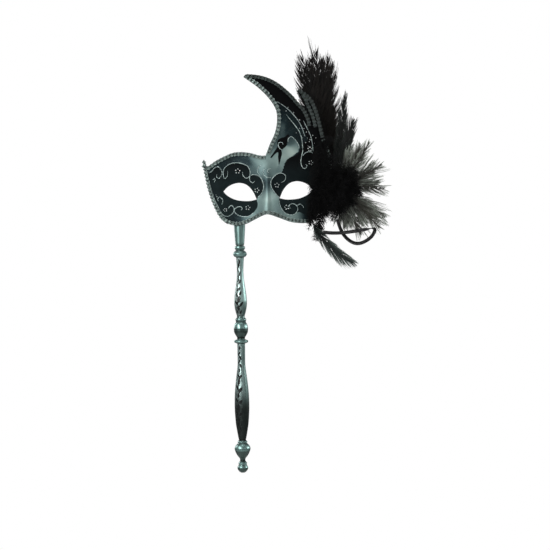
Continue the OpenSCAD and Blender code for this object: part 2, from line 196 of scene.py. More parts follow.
def softbox(name, at, size, watts):
    """A rectangular light that faces the middle of the mask."""
    data = bpy.data.lights.new(name, "AREA")
    data.shape, data.size, data.size_y = "RECTANGLE", size[0], size[1]
    data.energy = watts
    obj = bpy.data.objects.new(name, data)
    scene.collection.objects.link(obj)
    turn = (Vector(LIT_MIDDLE) - Vector(at)).to_track_quat("-Z", "Z")
    obj.matrix_world = Matrix.Translation(at) @ turn.to_matrix().to_4x4()


def studio():
    """A white room with soft lights, and a round pale floor."""
    camera()
    scene.view_settings.view_transform = "Standard"
    softbox("key", (-1.05, -1.3, 0.75), (0.3, 1.3), 40)
    softbox("fill", (1.1, -1.5, 0.5), (0.9, 0.9), 3.5)
    softbox("rim_right", (1.35, 0.15, 0.4), (0.25, 1.2), 13)
    softbox("rim_left", (-1.2, 0.9, 0.6), (0.4, 1.2), 10)
    softbox("top", (0.1, -0.2, 1.6), (0.8, 0.8), 10)
    world = bpy.data.worlds.new("white_room")
    scene.world = world
    world.use_nodes = True
    tree = world.node_tree
    tree.nodes.clear()
    path = tree.nodes.new("ShaderNodeLightPath")
    seen, light, mix = (tree.nodes.new("ShaderNode" + k) for k in ("Background", "Background", "MixShader"))
    seen.inputs["Color"].default_value = (1, 1, 1, 1)
    light.inputs["Color"].default_value = (0.93, 0.97, 1, 1)
    light.inputs["Strength"].default_value = 0.15
    out = tree.nodes.new("ShaderNodeOutputWorld")
    tree.links.new(path.outputs["Is Camera Ray"], mix.inputs[0])
    tree.links.new(light.outputs[0], mix.inputs[1])
    tree.links.new(seen.outputs[0], mix.inputs[2])
    tree.links.new(mix.outputs[0], out.inputs[0])

    bm = bmesh.new()
    bmesh.ops.create_circle(bm, cap_ends=True, segments=96, radius=FLOOR_RADIUS)
    bmesh.ops.translate(bm, verts=bm.verts, vec=(0, 0, FLOOR_Z))
    mesh = bpy.data.meshes.new("floor")
    bm.to_mesh(mesh)
    bm.free()
    floor = bpy.data.objects.new("floor", mesh)
    scene.collection.objects.link(floor)
    pale = bpy.data.materials.new("pale_floor")
    pale.use_nodes = True
    shader = pale.node_tree.nodes["Principled BSDF"]
    shader.inputs["Base Color"].default_value = (0.86, 0.86, 0.85, 1)
    shader.inputs["Roughness"].default_value = 0.9
    mesh.materials.append(pale)


studio()

# ---- materials ----


def add(tree, kind, inputs=(), **settings):
    """A shader node, with its settings, and its inputs linked or set."""
    made = tree.nodes.new("ShaderNode" + kind)
    for key, value in settings.items():
        setattr(made, key, value)
    for key, value in dict(inputs).items():
        if isinstance(value, bpy.types.NodeSocket):
            tree.links.new(value, made.inputs[key])
        else:
            made.inputs[key].default_value = value
    return made


def colours(tree, value, stops):
    """A colour ramp over a value."""
    made = add(tree, "ValToRGB", {0: value})
    points = made.color_ramp.elements
    while len(points) < len(stops):
        points.new(0.5)
    for point, (at, colour) in zip(points, stops):
        point.position, point.color = at, (*colour, 1)
    return made.outputs[0]


def maths(tree, operation, *values, clamp=False):
    """One step of arithmetic on values or sockets."""
    return add(tree, "Math", dict(enumerate(values)), operation=operation, use_clamp=clamp).outputs[0]


def mixed(tree, share, a, b):
    """The colour that lies this share of the way from a to b."""
    return add(tree, "Mix", {0: share, 6: a, 7: b}, data_type="RGBA").outputs[2]


def between(tree, value, low, high):
    """A value as a share of the way from low to high, eased."""
    made = add(tree, "MapRange", {0: value, 1: low, 2: high}, interpolation_type="SMOOTHSTEP")
    return made.outputs[0]


def group(name, inputs, outputs):
    """An empty node group: its tree, what it is given and what it puts out."""
    tree = bpy.data.node_groups.new(name, "ShaderNodeTree")
    for label, kind, value in inputs:
        socket = tree.interface.new_socket(label, in_out="INPUT", socket_type=kind)
        if value is not None:
            socket.default_value = value
    for label, kind in outputs:
        tree.interface.new_socket(label, in_out="OUTPUT", socket_type=kind)
    return tree, tree.nodes.new("NodeGroupInput").outputs, tree.nodes.new("NodeGroupOutput").inputs


def grain_group():
    """Fine grain and slow mottling over a surface."""
    tree, given, out = group("grain",
                             [("Vector", "NodeSocketVector", None), ("Size", "NodeSocketFloat", 2500.0)],
                             [("Grain", "NodeSocketFloat"), ("Mottle", "NodeSocketFloat")])
    fine = add(tree, "TexNoise", {"Vector": given[0], "Scale": given[1], "Detail": 3.0})
    slow = add(tree, "TexNoise", {"Vector": given[0], "Scale": maths(tree, "MULTIPLY", given[1], 0.045),
                                  "Detail": 4.0})
    tree.links.new(fine.outputs["Fac"], out[0])
    tree.links.new(slow.outputs["Fac"], out[1])
    return tree


def flakes_group():
    """Glitter flakes: how bright each flake is, and a height that tilts them."""
    tree, given, out = group("flakes",
                             [("Vector", "NodeSocketVector", None), ("Size", "NodeSocketFloat", 3000.0)],
                             [("Bright", "NodeSocketFloat"), ("Height", "NodeSocketFloat")])
    cells = add(tree, "TexVoronoi", {"Vector": given[0], "Scale": given[1]})
    parts = add(tree, "SeparateColor", {0: cells.outputs["Color"]})
    tree.links.new(parts.outputs[0], out[0])
    tree.links.new(maths(tree, "MULTIPLY", parts.outputs[1], cells.outputs["Distance"]), out[1])
    return tree


GRAIN, FLAKES = grain_group(), flakes_group()


def use(tree, which, **inputs):
    """A node group placed in a material, with its inputs linked or set."""
    made = tree.nodes.new("ShaderNodeGroup")
    made.node_tree = which
    for key, value in inputs.items():
        if isinstance(value, bpy.types.NodeSocket):
            tree.links.new(value, made.inputs[key])
        else:
            made.inputs[key].default_value = value
    return made.outputs


def start(name):
    """A new material: its node tree, its shader and its Object coordinates."""
    made = bpy.data.materials.new(name)
    made.use_nodes = True
    tree = made.node_tree
    shader = tree.nodes["Principled BSDF"]
    return made, tree, shader, add(tree, "TexCoord").outputs["Object"]


def dress(tree, shader, links=(), **values):
    """Links sockets to the shader's inputs, and sets the rest as plain numbers."""
    for key, socket in dict(links).items():
        tree.links.new(socket, shader.inputs[key])
    for key, value in values.items():
        shader.inputs[key.replace("_", " ")].default_value = value


def stretched(tree, at, scale, detail, distortion=0.0, size=1.0):
    """Noise over coordinates that are stretched first."""
    vector = add(tree, "Mapping", {0: at, 3: scale}).outputs[0]
    return add(tree, "TexNoise", {"Vector": vector, "Scale": size, "Detail": detail,
                                  "Distortion": distortion}).outputs["Fac"]


def bumped(tree, height, strength, distance):
    return add(tree, "Bump", {"Height": height, "Strength": strength, "Distance": distance}).outputs[0]


def attribute(tree, name):
    """A number that the mesh keeps for each vertex."""
    return add(tree, "Attribute", attribute_name=name).outputs["Fac"]


# The airbrushed paint, from black to silver
PAINT_STOPS = [(0.0, (0.002, 0.004, 0.005)), (0.25, (0.012, 0.022, 0.025)), (0.5, (0.07, 0.105, 0.105)),
               (0.75, (0.16, 0.225, 0.215)), (1.0, (0.36, 0.44, 0.40))]


def shell_paint():
    """Pearl paint, airbrushed dark, with a painted highlight on the nose ridge and black velvet flock on it.
    """
    made, tree, shader, at = start("pearl_paint_and_flock")
    grain = use(tree, GRAIN, Vector=at, Size=2600.0)
    flakes = use(tree, FLAKES, Vector=at, Size=3000.0)
    # The tone attribute is airbrushed paint with a painted highlight on the nose ridge
    tone = maths(tree, "ADD", attribute(tree, "tone"),
                 maths(tree, "MULTIPLY", maths(tree, "SUBTRACT", grain[1], 0.5), 0.16), clamp=True)
    paint = colours(tree, tone, PAINT_STOPS)
    glint = maths(tree, "MULTIPLY", maths(tree, "GREATER_THAN", flakes[0], 0.97), 0.09)
    paint = mixed(tree, glint, paint, (0.62, 0.72, 0.68, 1))
    edge = maths(tree, "ADD", attribute(tree, "flock"),
                 maths(tree, "MULTIPLY", maths(tree, "SUBTRACT", grain[0], 0.5), 0.7))
    flock = between(tree, edge, -0.15, 0.2)
    nap = mixed(tree, grain[1], (0.003, 0.0055, 0.006, 1), (0.010, 0.0165, 0.0175, 1))
    height = add(tree, "SeparateXYZ", {0: at}).outputs[2]
    nap = mixed(tree, between(tree, height, 0.27, 0.31), nap, (0.0015, 0.0017, 0.002, 1))
    colour = mixed(tree, flock, paint, nap)
    rough = maths(tree, "MULTIPLY_ADD", flock, 0.4, maths(tree, "MULTIPLY_ADD", grain[1], 0.2, 0.38))
    metal = maths(tree, "MULTIPLY", maths(tree, "SUBTRACT", 1.0, flock), 0.55)
    pile = maths(tree, "MULTIPLY", flock, maths(tree, "MULTIPLY_ADD", grain[0], 1.2, 0.6))
    relief = maths(tree, "ADD", pile, maths(tree, "MULTIPLY", flakes[1], 0.25))
    dress(tree, shader, {"Base Color": colour, "Roughness": rough, "Metallic": metal,
                         "Normal": bumped(tree, relief, 0.5, 0.0004)}, Specular_IOR_Level=0.05)
    return made


def glitter(name, low, high):
    """Loose flakes of silver glitter set in glue."""
    made, tree, shader, at = start(name)
    flakes = use(tree, FLAKES, Vector=at, Size=1900.0)
    brightest = tuple(min(1, c * 1.5) for c in high)
    colour = colours(tree, flakes[0], [(0.0, low), (0.7, high), (1.0, brightest)])
    rough = maths(tree, "MULTIPLY_ADD", flakes[0], 0.2, 0.22)
    dress(tree, shader, {"Base Color": colour, "Roughness": rough,
                         "Normal": bumped(tree, flakes[1], 0.9, 0.0006)}, Metallic=0.7)
    return made


def felt():
    """Black felt with a hairy surface."""
    made, tree, shader, at = start("black_felt")
    grain = use(tree, GRAIN, Vector=at, Size=1600.0)
    hairs = add(tree, "TexNoise", {"Vector": at, "Scale": 900.0, "Detail": 6.0, "Distortion": 2.5})
    colour = mixed(tree, hairs.outputs["Fac"], (0.006, 0.006, 0.007, 1), (0.045, 0.045, 0.05, 1))
    height = maths(tree, "ADD", grain[0], hairs.outputs["Fac"])
    dress(tree, shader, {"Base Color": colour, "Normal": bumped(tree, height, 0.6, 0.0006)},
          Roughness=0.95, Sheen_Weight=0.3, Sheen_Roughness=0.5)
    return made


def lacquer():
    """Blue-grey metal lacquer on turned wood, with a black painted pattern on silver and painted shade laid
    over it.
    """
    made, tree, shader, at = start("silver_blue_lacquer")
    grain = use(tree, GRAIN, Vector=at, Size=2000.0)
    flakes = use(tree, FLAKES, Vector=at, Size=2600.0)
    streaks = stretched(tree, at, (600.0, 600.0, 30.0), 3.0)
    base = mixed(tree, streaks, (0.10, 0.175, 0.165, 1), (0.19, 0.295, 0.275, 1))
    bright = maths(tree, "GREATER_THAN", flakes[0], 0.6)
    silver = mixed(tree, bright, (0.26, 0.36, 0.35, 1), (0.50, 0.62, 0.59, 1))
    colour = mixed(tree, attribute(tree, "ground"), base, silver)
    # Painted shade from the shade attribute: in the grooves, toward each spindle's foot, on the lower
    # spindle's right side and under the balls
    colour = mixed(tree, attribute(tree, "shade"), colour, (0.014, 0.017, 0.015, 1))
    ragged = maths(tree, "ADD", attribute(tree, "motif"),
                   maths(tree, "MULTIPLY", maths(tree, "SUBTRACT", grain[0], 0.5), 0.5))
    sprigs = stretched(tree, at, (1.0, 1.0, 0.55), 1.5, 2.2, 330.0)
    strokes = between(tree, maths(tree, "ABSOLUTE", maths(tree, "SUBTRACT", sprigs, 0.53)), 0.05, 0.02)
    strokes = maths(tree, "MULTIPLY", strokes, between(tree, attribute(tree, "ground"), 0.35, 0.6))
    ink = maths(tree, "MAXIMUM", between(tree, ragged, -0.12, 0.12), strokes)
    colour = mixed(tree, ink, colour, (0.002, 0.003, 0.003, 1))
    metal = maths(tree, "MULTIPLY_ADD", ink, -0.75, 0.85)
    rough = maths(tree, "ADD", maths(tree, "MULTIPLY_ADD", ink, 0.15, 0.33),
                  maths(tree, "MULTIPLY", grain[1], 0.12))
    height = maths(tree, "ADD", maths(tree, "MULTIPLY", ink, 0.6), maths(tree, "MULTIPLY", flakes[1], 0.08))
    dress(tree, shader, {"Base Color": colour, "Metallic": metal, "Roughness": rough,
                         "Normal": bumped(tree, height, 0.5, 0.0003)},
          Coat_Weight=0.1, Coat_Roughness=0.25, Specular_IOR_Level=0.15)
    return made


def yarn(name, dark, light, metallic, roughness, specular=0.4):
    """Fine twisted yarn: dark between its plies, with painted shade where its cord turns under and a painted
    highlight where it swings out.
    """
    made, tree, shader, at = start(name)
    grain = use(tree, GRAIN, Vector=at, Size=1500.0)
    flakes = use(tree, FLAKES, Vector=at, Size=2400.0)
    ply = maths(tree, "MULTIPLY_ADD", flakes[0], 0.7, maths(tree, "MULTIPLY", grain[1], 0.4))
    # The outer attribute carries painted light: lighter where the silver cords swing out, darker where they
    # cross
    colour = mixed(tree, maths(tree, "MULTIPLY", ply, attribute(tree, "outer")), dark, light)
    dress(tree, shader, {"Base Color": colour, "Normal": bumped(tree, flakes[1], 0.8, 0.0005)},
          Metallic=metallic, Roughness=roughness, Specular_IOR_Level=specular)
    return made


def barbs(name, dark, light, tip, roughness, sheen):
    """Feather barbs: dark near the quill, with more of the tip's colour toward each barb's end."""
    made, tree, shader, at = start(name)
    grain = use(tree, GRAIN, Vector=at, Size=900.0)
    colour = mixed(tree, grain[1], dark, light)
    colour = mixed(tree, attribute(tree, "outer"), colour, tip)
    dress(tree, shader, {"Base Color": colour}, Roughness=roughness, Sheen_Weight=sheen,
          Sheen_Roughness=0.35, Specular_IOR_Level=0.12)
    return made


def plain(name, dark, light, roughness, scale=900.0, strength=0.3, **rest):
    """One material with a mottled colour and a fine relief."""
    made, tree, shader, at = start(name)
    grain = use(tree, GRAIN, Vector=at, Size=scale)
    dress(tree, shader, {"Base Color": mixed(tree, grain[1], dark, light),
                         "Normal": bumped(tree, grain[0], strength, 0.0004)}, Roughness=roughness, **rest)
    return made


def satin():
    """Satin weave: fine threads along and across the band."""
    made, tree, shader, at = start("black_satin")
    along = add(tree, "UVMap", uv_map="band").outputs[0]
    warp = add(tree, "TexWave", {"Vector": along, "Scale": 260.0, "Distortion": 0.6}, bands_direction="X")
    weft = add(tree, "TexWave", {"Vector": along, "Scale": 200.0, "Distortion": 0.4}, bands_direction="Y")
    threads = maths(tree, "ADD", maths(tree, "MULTIPLY", warp.outputs["Fac"], 0.7), weft.outputs["Fac"])
    colour = mixed(tree, warp.outputs["Fac"], (0.001, 0.001, 0.0012, 1), (0.006, 0.0065, 0.007, 1))
    dress(tree, shader, {"Base Color": colour, "Normal": bumped(tree, threads, 0.15, 0.0001)},
          Roughness=0.4, Specular_IOR_Level=0.25, Anisotropic=0.6)
    return made


PAINT = shell_paint()
GLITTER = glitter("silver_glitter", (0.10, 0.14, 0.14), (0.46, 0.56, 0.54))
PALE_GLITTER = glitter("pale_glitter", (0.30, 0.37, 0.36), (0.74, 0.82, 0.80))
FELT = felt()
LACQUER = lacquer()
SILVER_YARN = yarn("silver_yarn", (0.006, 0.009, 0.009, 1), (0.40, 0.50, 0.47, 1), 0.7, 0.34)
# A darker copy of the silver yarn: painted shade on the braids of the crest's outer edge and the horn
SHADED_SILVER_YARN = yarn("shaded_silver_yarn", (0.003, 0.004, 0.004, 1), (0.11, 0.14, 0.13, 1), 0.6, 0.4)
BLACK_YARN = yarn("black_yarn", (0.002, 0.003, 0.003, 1), (0.006, 0.008, 0.008, 1), 0.0, 0.8, 0.06)
PLUME_BARBS = barbs("black_barbs", (0.0008, 0.0008, 0.0008, 1), (0.004, 0.0034, 0.003, 1),
                    (0.012, 0.010, 0.008, 1), 0.6, 0.01)
FAN_BARBS = barbs("brown_black_barbs", (0.003, 0.003, 0.003, 1), (0.05, 0.047, 0.037, 1),
                  (0.36, 0.40, 0.345, 1), 0.5, 0.04)
SHEEN_BARBS = barbs("green_black_barbs", (0.003, 0.004, 0.004, 1), (0.016, 0.023, 0.021, 1),
                    (0.12, 0.155, 0.138, 1), 0.45, 0.03)
SIDE_BARBS = barbs("side_barbs", (0.001, 0.0012, 0.0012, 1), (0.006, 0.007, 0.006, 1),
                   (0.022, 0.027, 0.024, 1), 0.5, 0.01)
DOWN = barbs("black_down", (0.0006, 0.0007, 0.0008, 1), (0.0025, 0.0027, 0.003, 1),
             (0.005, 0.005, 0.005, 1), 0.8, 0.0)
DARK_QUILL = plain("dark_quill", (0.015, 0.013, 0.011, 1), (0.05, 0.042, 0.034, 1), 0.35)
PALE_QUILL = plain("pale_quill", (0.30, 0.29, 0.26, 1), (0.62, 0.60, 0.55, 1), 0.35)
HOT_GLUE = plain("hot_glue", (0.55, 0.47, 0.32, 1), (0.72, 0.66, 0.50, 1), 0.28, 300.0, 0.15,
                 Subsurface_Weight=0.3, Subsurface_Radius=(0.002, 0.0015, 0.001), Coat_Weight=0.3)
SATIN = satin()

# ---- making pieces ----

RING = 4  # corners round a strand, and two more for each of its extra sides


def show(name, mesh, materials, body="root", replaces=(), sharp=None):
    """Puts a mesh that was made in millimetres on the object, in metres, as one piece."""
    mesh.transform(Matrix.Scale(MM, 4))
    for m in materials:
        mesh.materials.append(m)
    mesh.shade_smooth()
    if sharp is not None:
        mesh.set_sharp_from_angle(angle=math.radians(sharp))
    mesh.update()
    obj = bpy.data.objects.new(name, mesh)
    scene.collection.objects.link(obj)
    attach(obj, body)
    if replaces:
        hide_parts(*replaces)
    return obj


def as_mesh(bm, name):
    """Turns a bmesh into a mesh and frees it."""
    mesh = bpy.data.meshes.new(name)
    bm.to_mesh(mesh)
    bm.free()
    return mesh


def shaped(obj):
    """The mesh that an object shows once its curves or modifiers are worked out. The object goes."""
    scene.collection.objects.link(obj)
    ready = obj.evaluated_get(bpy.context.evaluated_depsgraph_get())
    mesh = bpy.data.meshes.new_from_object(ready)
    data = obj.data
    bpy.data.objects.remove(obj)
    if isinstance(data, bpy.types.Curve):
        bpy.data.curves.remove(data)
    else:
        bpy.data.meshes.remove(data)
    return mesh


def strands(name, runs, sides=0):
    """Tapered round strands along runs of (points, radii, material number), as one mesh."""
    curve = bpy.data.curves.new(name, "CURVE")
    curve.dimensions = "3D"
    curve.bevel_depth, curve.bevel_resolution, curve.use_fill_caps = 1, sides, True
    curve.resolution_u = 1
    for _ in range(1 + max(r[2] for r in runs)):
        curve.materials.append(None)
    for points, radii, number in runs:
        spline = curve.splines.new("POLY")
        spline.points.add(len(points) - 1)
        spline.points.foreach_set("co", np.c_[points, np.ones(len(points))].astype(np.float32).ravel())
        spline.points.foreach_set("radius", np.asarray(radii, np.float32))
        spline.material_index = number
    mesh = shaped(bpy.data.objects.new(name, curve))
    mesh.materials.clear()
    return mesh


def mark(mesh, name, values):
    """Keeps one number for each vertex."""
    mesh.attributes.new(name, "FLOAT", "POINT").data.foreach_set("value", np.asarray(values, np.float32))


def mark_strands(mesh, shares, sides=0):
    """Keeps a share for each point of each strand, on all the vertices round it.

    A mesh made of capped strands lists the caps first, from the last strand's end back, and then the rings.
    """
    caps = [share[[-1, 0]] for share in reversed(shares)]
    mark(mesh, "outer", np.repeat(np.concatenate(caps + shares), RING + 2 * sides))


def vertices(mesh):
    """Every vertex of a mesh, as rows of x, y and z."""
    out = np.empty(len(mesh.vertices) * 3, np.float32)
    mesh.vertices.foreach_get("co", out)
    return out.reshape(-1, 3).astype(float)


# ---- the shell and its felt ----

SHELL_CELL, LINING_CELL, FILM = 1.1, 2.4, 0.02


def flat_sheet(loops, pitch):
    """A flat sheet inside closed outlines in x and z, cut into small cells."""
    curve = bpy.data.curves.new("sheet", "CURVE")
    curve.dimensions, curve.fill_mode = "2D", "BOTH"
    for loop in loops:
        spline = curve.splines.new("POLY")
        spline.points.add(len(loop) - 1)
        flat = np.c_[loop, np.zeros(len(loop)), np.ones(len(loop))]
        spline.points.foreach_set("co", flat.astype(np.float32).ravel())
        spline.use_cyclic_u = True
    mesh = shaped(bpy.data.objects.new("sheet", curve))
    bm = bmesh.new()
    bm.from_mesh(mesh)
    bpy.data.meshes.remove(mesh)
    low, high = np.min(loops[0], 0), np.max(loops[0], 0)
    for axis in (0, 1):
        normal = [0, 0, 0]
        normal[axis] = 1
        for at in np.arange(math.ceil(low[axis] / pitch) * pitch, high[axis], pitch):
            corner = [0, 0, 0]
            corner[axis] = at
            bmesh.ops.bisect_plane(bm, geom=bm.verts[:] + bm.edges[:] + bm.faces[:], dist=1e-4,
                                   plane_co=corner, plane_no=normal)
    bmesh.ops.remove_doubles(bm, verts=bm.verts, dist=0.01)
    return bm


def wall(bm, near, thick):
    """The flat sheet bent to the face's surface, so far behind its front, and given a thickness."""
    flat = np.array([v.co[:2] for v in bm.verts])
    back = front(flat[:, 0], flat[:, 1]) + near
    for v, (x, z), y in zip(bm.verts, flat, back):
        v.co = (x, y, z)
    made = bmesh.ops.extrude_face_region(bm, geom=bm.faces[:], use_keep_orig=True)
    moved = [g for g in made["geom"] if isinstance(g, bmesh.types.BMVert)]
    bmesh.ops.translate(bm, verts=moved, vec=(0, thick, 0))
    bmesh.ops.recalc_face_normals(bm, faces=bm.faces)


# Black velvet fields, measured from the nose line and the lowest edge
LEFT_FIELD = [(-90, 72), (-78, 71.5), (-74.5, 68.5), (-71, 70), (-66.5, 74.5), (-62, 75), (-58.5, 71),
              (-57.5, 66), (-55, 71.5), (-49.5, 77), (-41.5, 79), (-33, 78), (-25, 74), (-22, 67),
              (-22.5, 63), (-19, 63.5), (-13, 62.5), (-8.5, 59), (-6, 52.5), (-5.5, 46), (-8.5, 39.5),
              (-12.5, 35.5), (-14, 31.5), (-13, 27), (-14, 22), (-18.5, 16.5), (-24.5, 12.5), (-30, 11.5),
              (-36.5, 13), (-42, 17), (-47, 14), (-52, 12.5), (-57, 14.5), (-60.5, 19.5), (-67.5, 34.5),
              (-72.5, 50.5), (-76, 65)]
RIGHT_FIELD = [(43, 100.5), (41, 94), (37, 88.5), (30.5, 86), (24.5, 82.5), (19.5, 78), (17.5, 74.5),
               (17.5, 68.5), (14.5, 65), (9.5, 63), (5.5, 58), (3.5, 52.5), (4, 47.5), (8, 41),
               (13.5, 35.5), (13.5, 30.5), (15, 25), (17.5, 20), (20.5, 16.5), (26, 13.5), (30.5, 13.5),
               (34.5, 15), (39, 16.5), (48.5, 10.5), (60, -5), (110, 0), (110, 125), (60, 112), (50, 106)]
CREST_FIELD = [(-60, 200), (0, 150), (12, 155), (19.5, 150.5), (25.5, 145.5), (31, 140.5), (36.5, 134),
               (40.5, 128), (44.5, 121.5), (49.5, 110.5), (54.5, 96.5), (57, 82), (110, 82), (110, 220),
               (-60, 220)]
KEY_MARK = [(3, 84.5), (8, 91.5), (12.5, 98.5), (12, 103.5), (14, 107.5), (18, 109.5), (22, 110.5),
            (24.5, 113), (27.5, 113), (25.5, 108), (24.5, 103), (23, 98.5), (19.5, 95.5), (17.5, 93.5),
            (18, 89.5), (17, 85), (15, 77.5), (14, 75), (13.5, 76.5), (13, 84.5), (13, 91), (9, 88.5),
            (5, 84)]
LEAF = [(25.5, 107), (27, 109.5), (29.5, 110.5), (33, 109), (36, 105.5), (38.5, 101.5), (39.5, 97),
        (38.5, 92.5), (35, 89.5), (30.5, 86.5), (25.5, 83), (22.5, 79), (17.5, 66), (10.5, 66), (14, 77),
        (17.5, 88), (19.5, 95), (23.5, 99), (25, 103)]
# How bright the paint is at places on the face, from 0 black to 1 silver: airbrushed paint, with a painted
# highlight on the nose ridge near (0, 30) and (2, 37)
TONES = [(-80, 82, .20), (-76, 76, .25), (-69, 79, .18), (-60, 83, .08), (-50, 87, .05), (-42, 88, .06),
         (-34, 87, .10), (-29, 83, .13), (-25, 78, .14), (-20, 72, .38), (-17, 85, .55), (-10, 80, .66),
         (-6, 84, .72), (-10, 72, .58), (-5, 66, .46), (-14, 66, .40), (0, 61, .46), (7, 67, .60),
         (4, 75, .70), (8, 80, .76), (0, 80, .76), (-1, 54, .26), (0, 47, .30), (0, 42, .50),
         (-4, 37, .72), (2, 37, .84), (7, 38, .78), (0, 30, .86), (1, 22, .76), (-7, 26, .62),
         (9, 26, .60), (-8, 18, .56), (10, 16, .56), (-14, 14, .58), (1, 15, .62), (-21, 12, .60),
         (-28, 8, .50), (-34, 6, .20), (-42, 7, .05), (-52, 7, .02), (-60, 13, .10), (-66, 22, .17),
         (-72, 34, .18), (-77, 48, .24), (-80, 62, .22), (16, 14, .60), (20, 12, .70), (26, 10, .80),
         (32, 10, .76), (38, 12, .60), (46, 12, .18), (56, 10, .04), (6, 92, .60), (4, 87, .72),
         (10, 86, .80), (15, 80, .82), (8, 100, .42), (17, 122.9, .40), (18, 114, .37), (27, 114, .24),
         (20, 132, .22), (22, 139, .10), (16, 150, .03), (28, 121, .14), (34, 108, .09), (34, 126, .09),
         (42, 116, .07), (44, 104, .10), (38, 112, .09), (48, 100, .10), (30, 132, .10), (52, 154, .32),
         (47, 162, .36), (59, 120, .04), (50, 130, .14)]
LEAF_TONES = [(20, 76, .72), (16, 69, .60), (22, 84, .84), (28, 91, .95), (34, 96, .84), (37, 100, .60),
              (31, 104, .42), (27, 108, .30), (22, 92, .80)]


def tone_at(points, tones, reach):
    """Blends the tones nearby, nearer ones the most."""
    total, weight = np.zeros(len(points)), np.full(len(points), 1e-9)
    for a, b, tone in tones:
        share = np.exp(-((points[:, 0] - a) ** 2 + (points[:, 1] - b) ** 2) / reach ** 2) + 1e-12
        total += share * tone
        weight += share
    return total / weight


def shell():
    """The moulded sheet, with how bright its paint is and where its velvet lies kept on its vertices."""
    bm = flat_sheet([outline(), eye(-1), eye(1)], SHELL_CELL)
    wall(bm, 0, SHELL_T)
    mesh = as_mesh(bm, "shell")
    at = vertices(mesh)
    spots = at[:, [0, 2]] - (INSET_X, MASK_Z)
    fields = [inside_by(spots, smooth(f + f[:1], 4)[:-1])
              for f in (LEFT_FIELD, RIGHT_FIELD, CREST_FIELD, KEY_MARK)]
    leaf = inside_by(spots, smooth(LEAF + LEAF[:1], 4)[:-1]) > 0
    flock = np.max(fields, 0)
    flock = np.where(leaf & (fields[3] < 0), np.minimum(flock, -0.3), flock)
    behind = at[:, 1] > front(at[:, 0], at[:, 2]) + SHELL_T / 2
    mark(mesh, "flock", np.where(behind, -5, flock))
    tone = np.where(leaf, tone_at(spots, LEAF_TONES, 4.5), tone_at(spots, TONES, 5.5))
    mark(mesh, "tone", np.where(behind, 0.12, tone))
    show("face_shell", mesh, [PAINT], replaces=["mask_shell"], sharp=50)


def lining():
    """The felt stops short of the shell's edges, so its rim is drawn in to that line."""
    loops = [outline(), eye(-1), eye(1)]

    def depth_in(points):
        edge, left, right = (inside_by(points, loop) for loop in loops)
        return np.min([edge, -left, -right], 0)

    bm = flat_sheet(loops, LINING_CELL)
    flat = np.array([v.co[:2] for v in bm.verts])
    inside = depth_in(flat)
    bm.verts.index_update()
    outside = [f for f in bm.faces if all(inside[v.index] < LINING_INSET for v in f.verts)]
    step = 0.1
    slope = np.stack([depth_in(flat + (step, 0)) - depth_in(flat - (step, 0)),
                      depth_in(flat + (0, step)) - depth_in(flat - (0, step))], -1) / (2 * step)
    for v, now, lead in zip(bm.verts[:], inside, slope):
        if now < LINING_INSET:
            v.co.x += lead[0] * (LINING_INSET - now)
            v.co.y += lead[1] * (LINING_INSET - now)
    bmesh.ops.delete(bm, geom=outside, context="FACES")
    bmesh.ops.remove_doubles(bm, verts=bm.verts, dist=0.15)
    wall(bm, SHELL_T + FILM, LINING_T)
    show("felt_back", as_mesh(bm, "felt"), [FELT], replaces=["felt_lining"], sharp=50)


# ---- raised glitter lines, flowers and dots ----

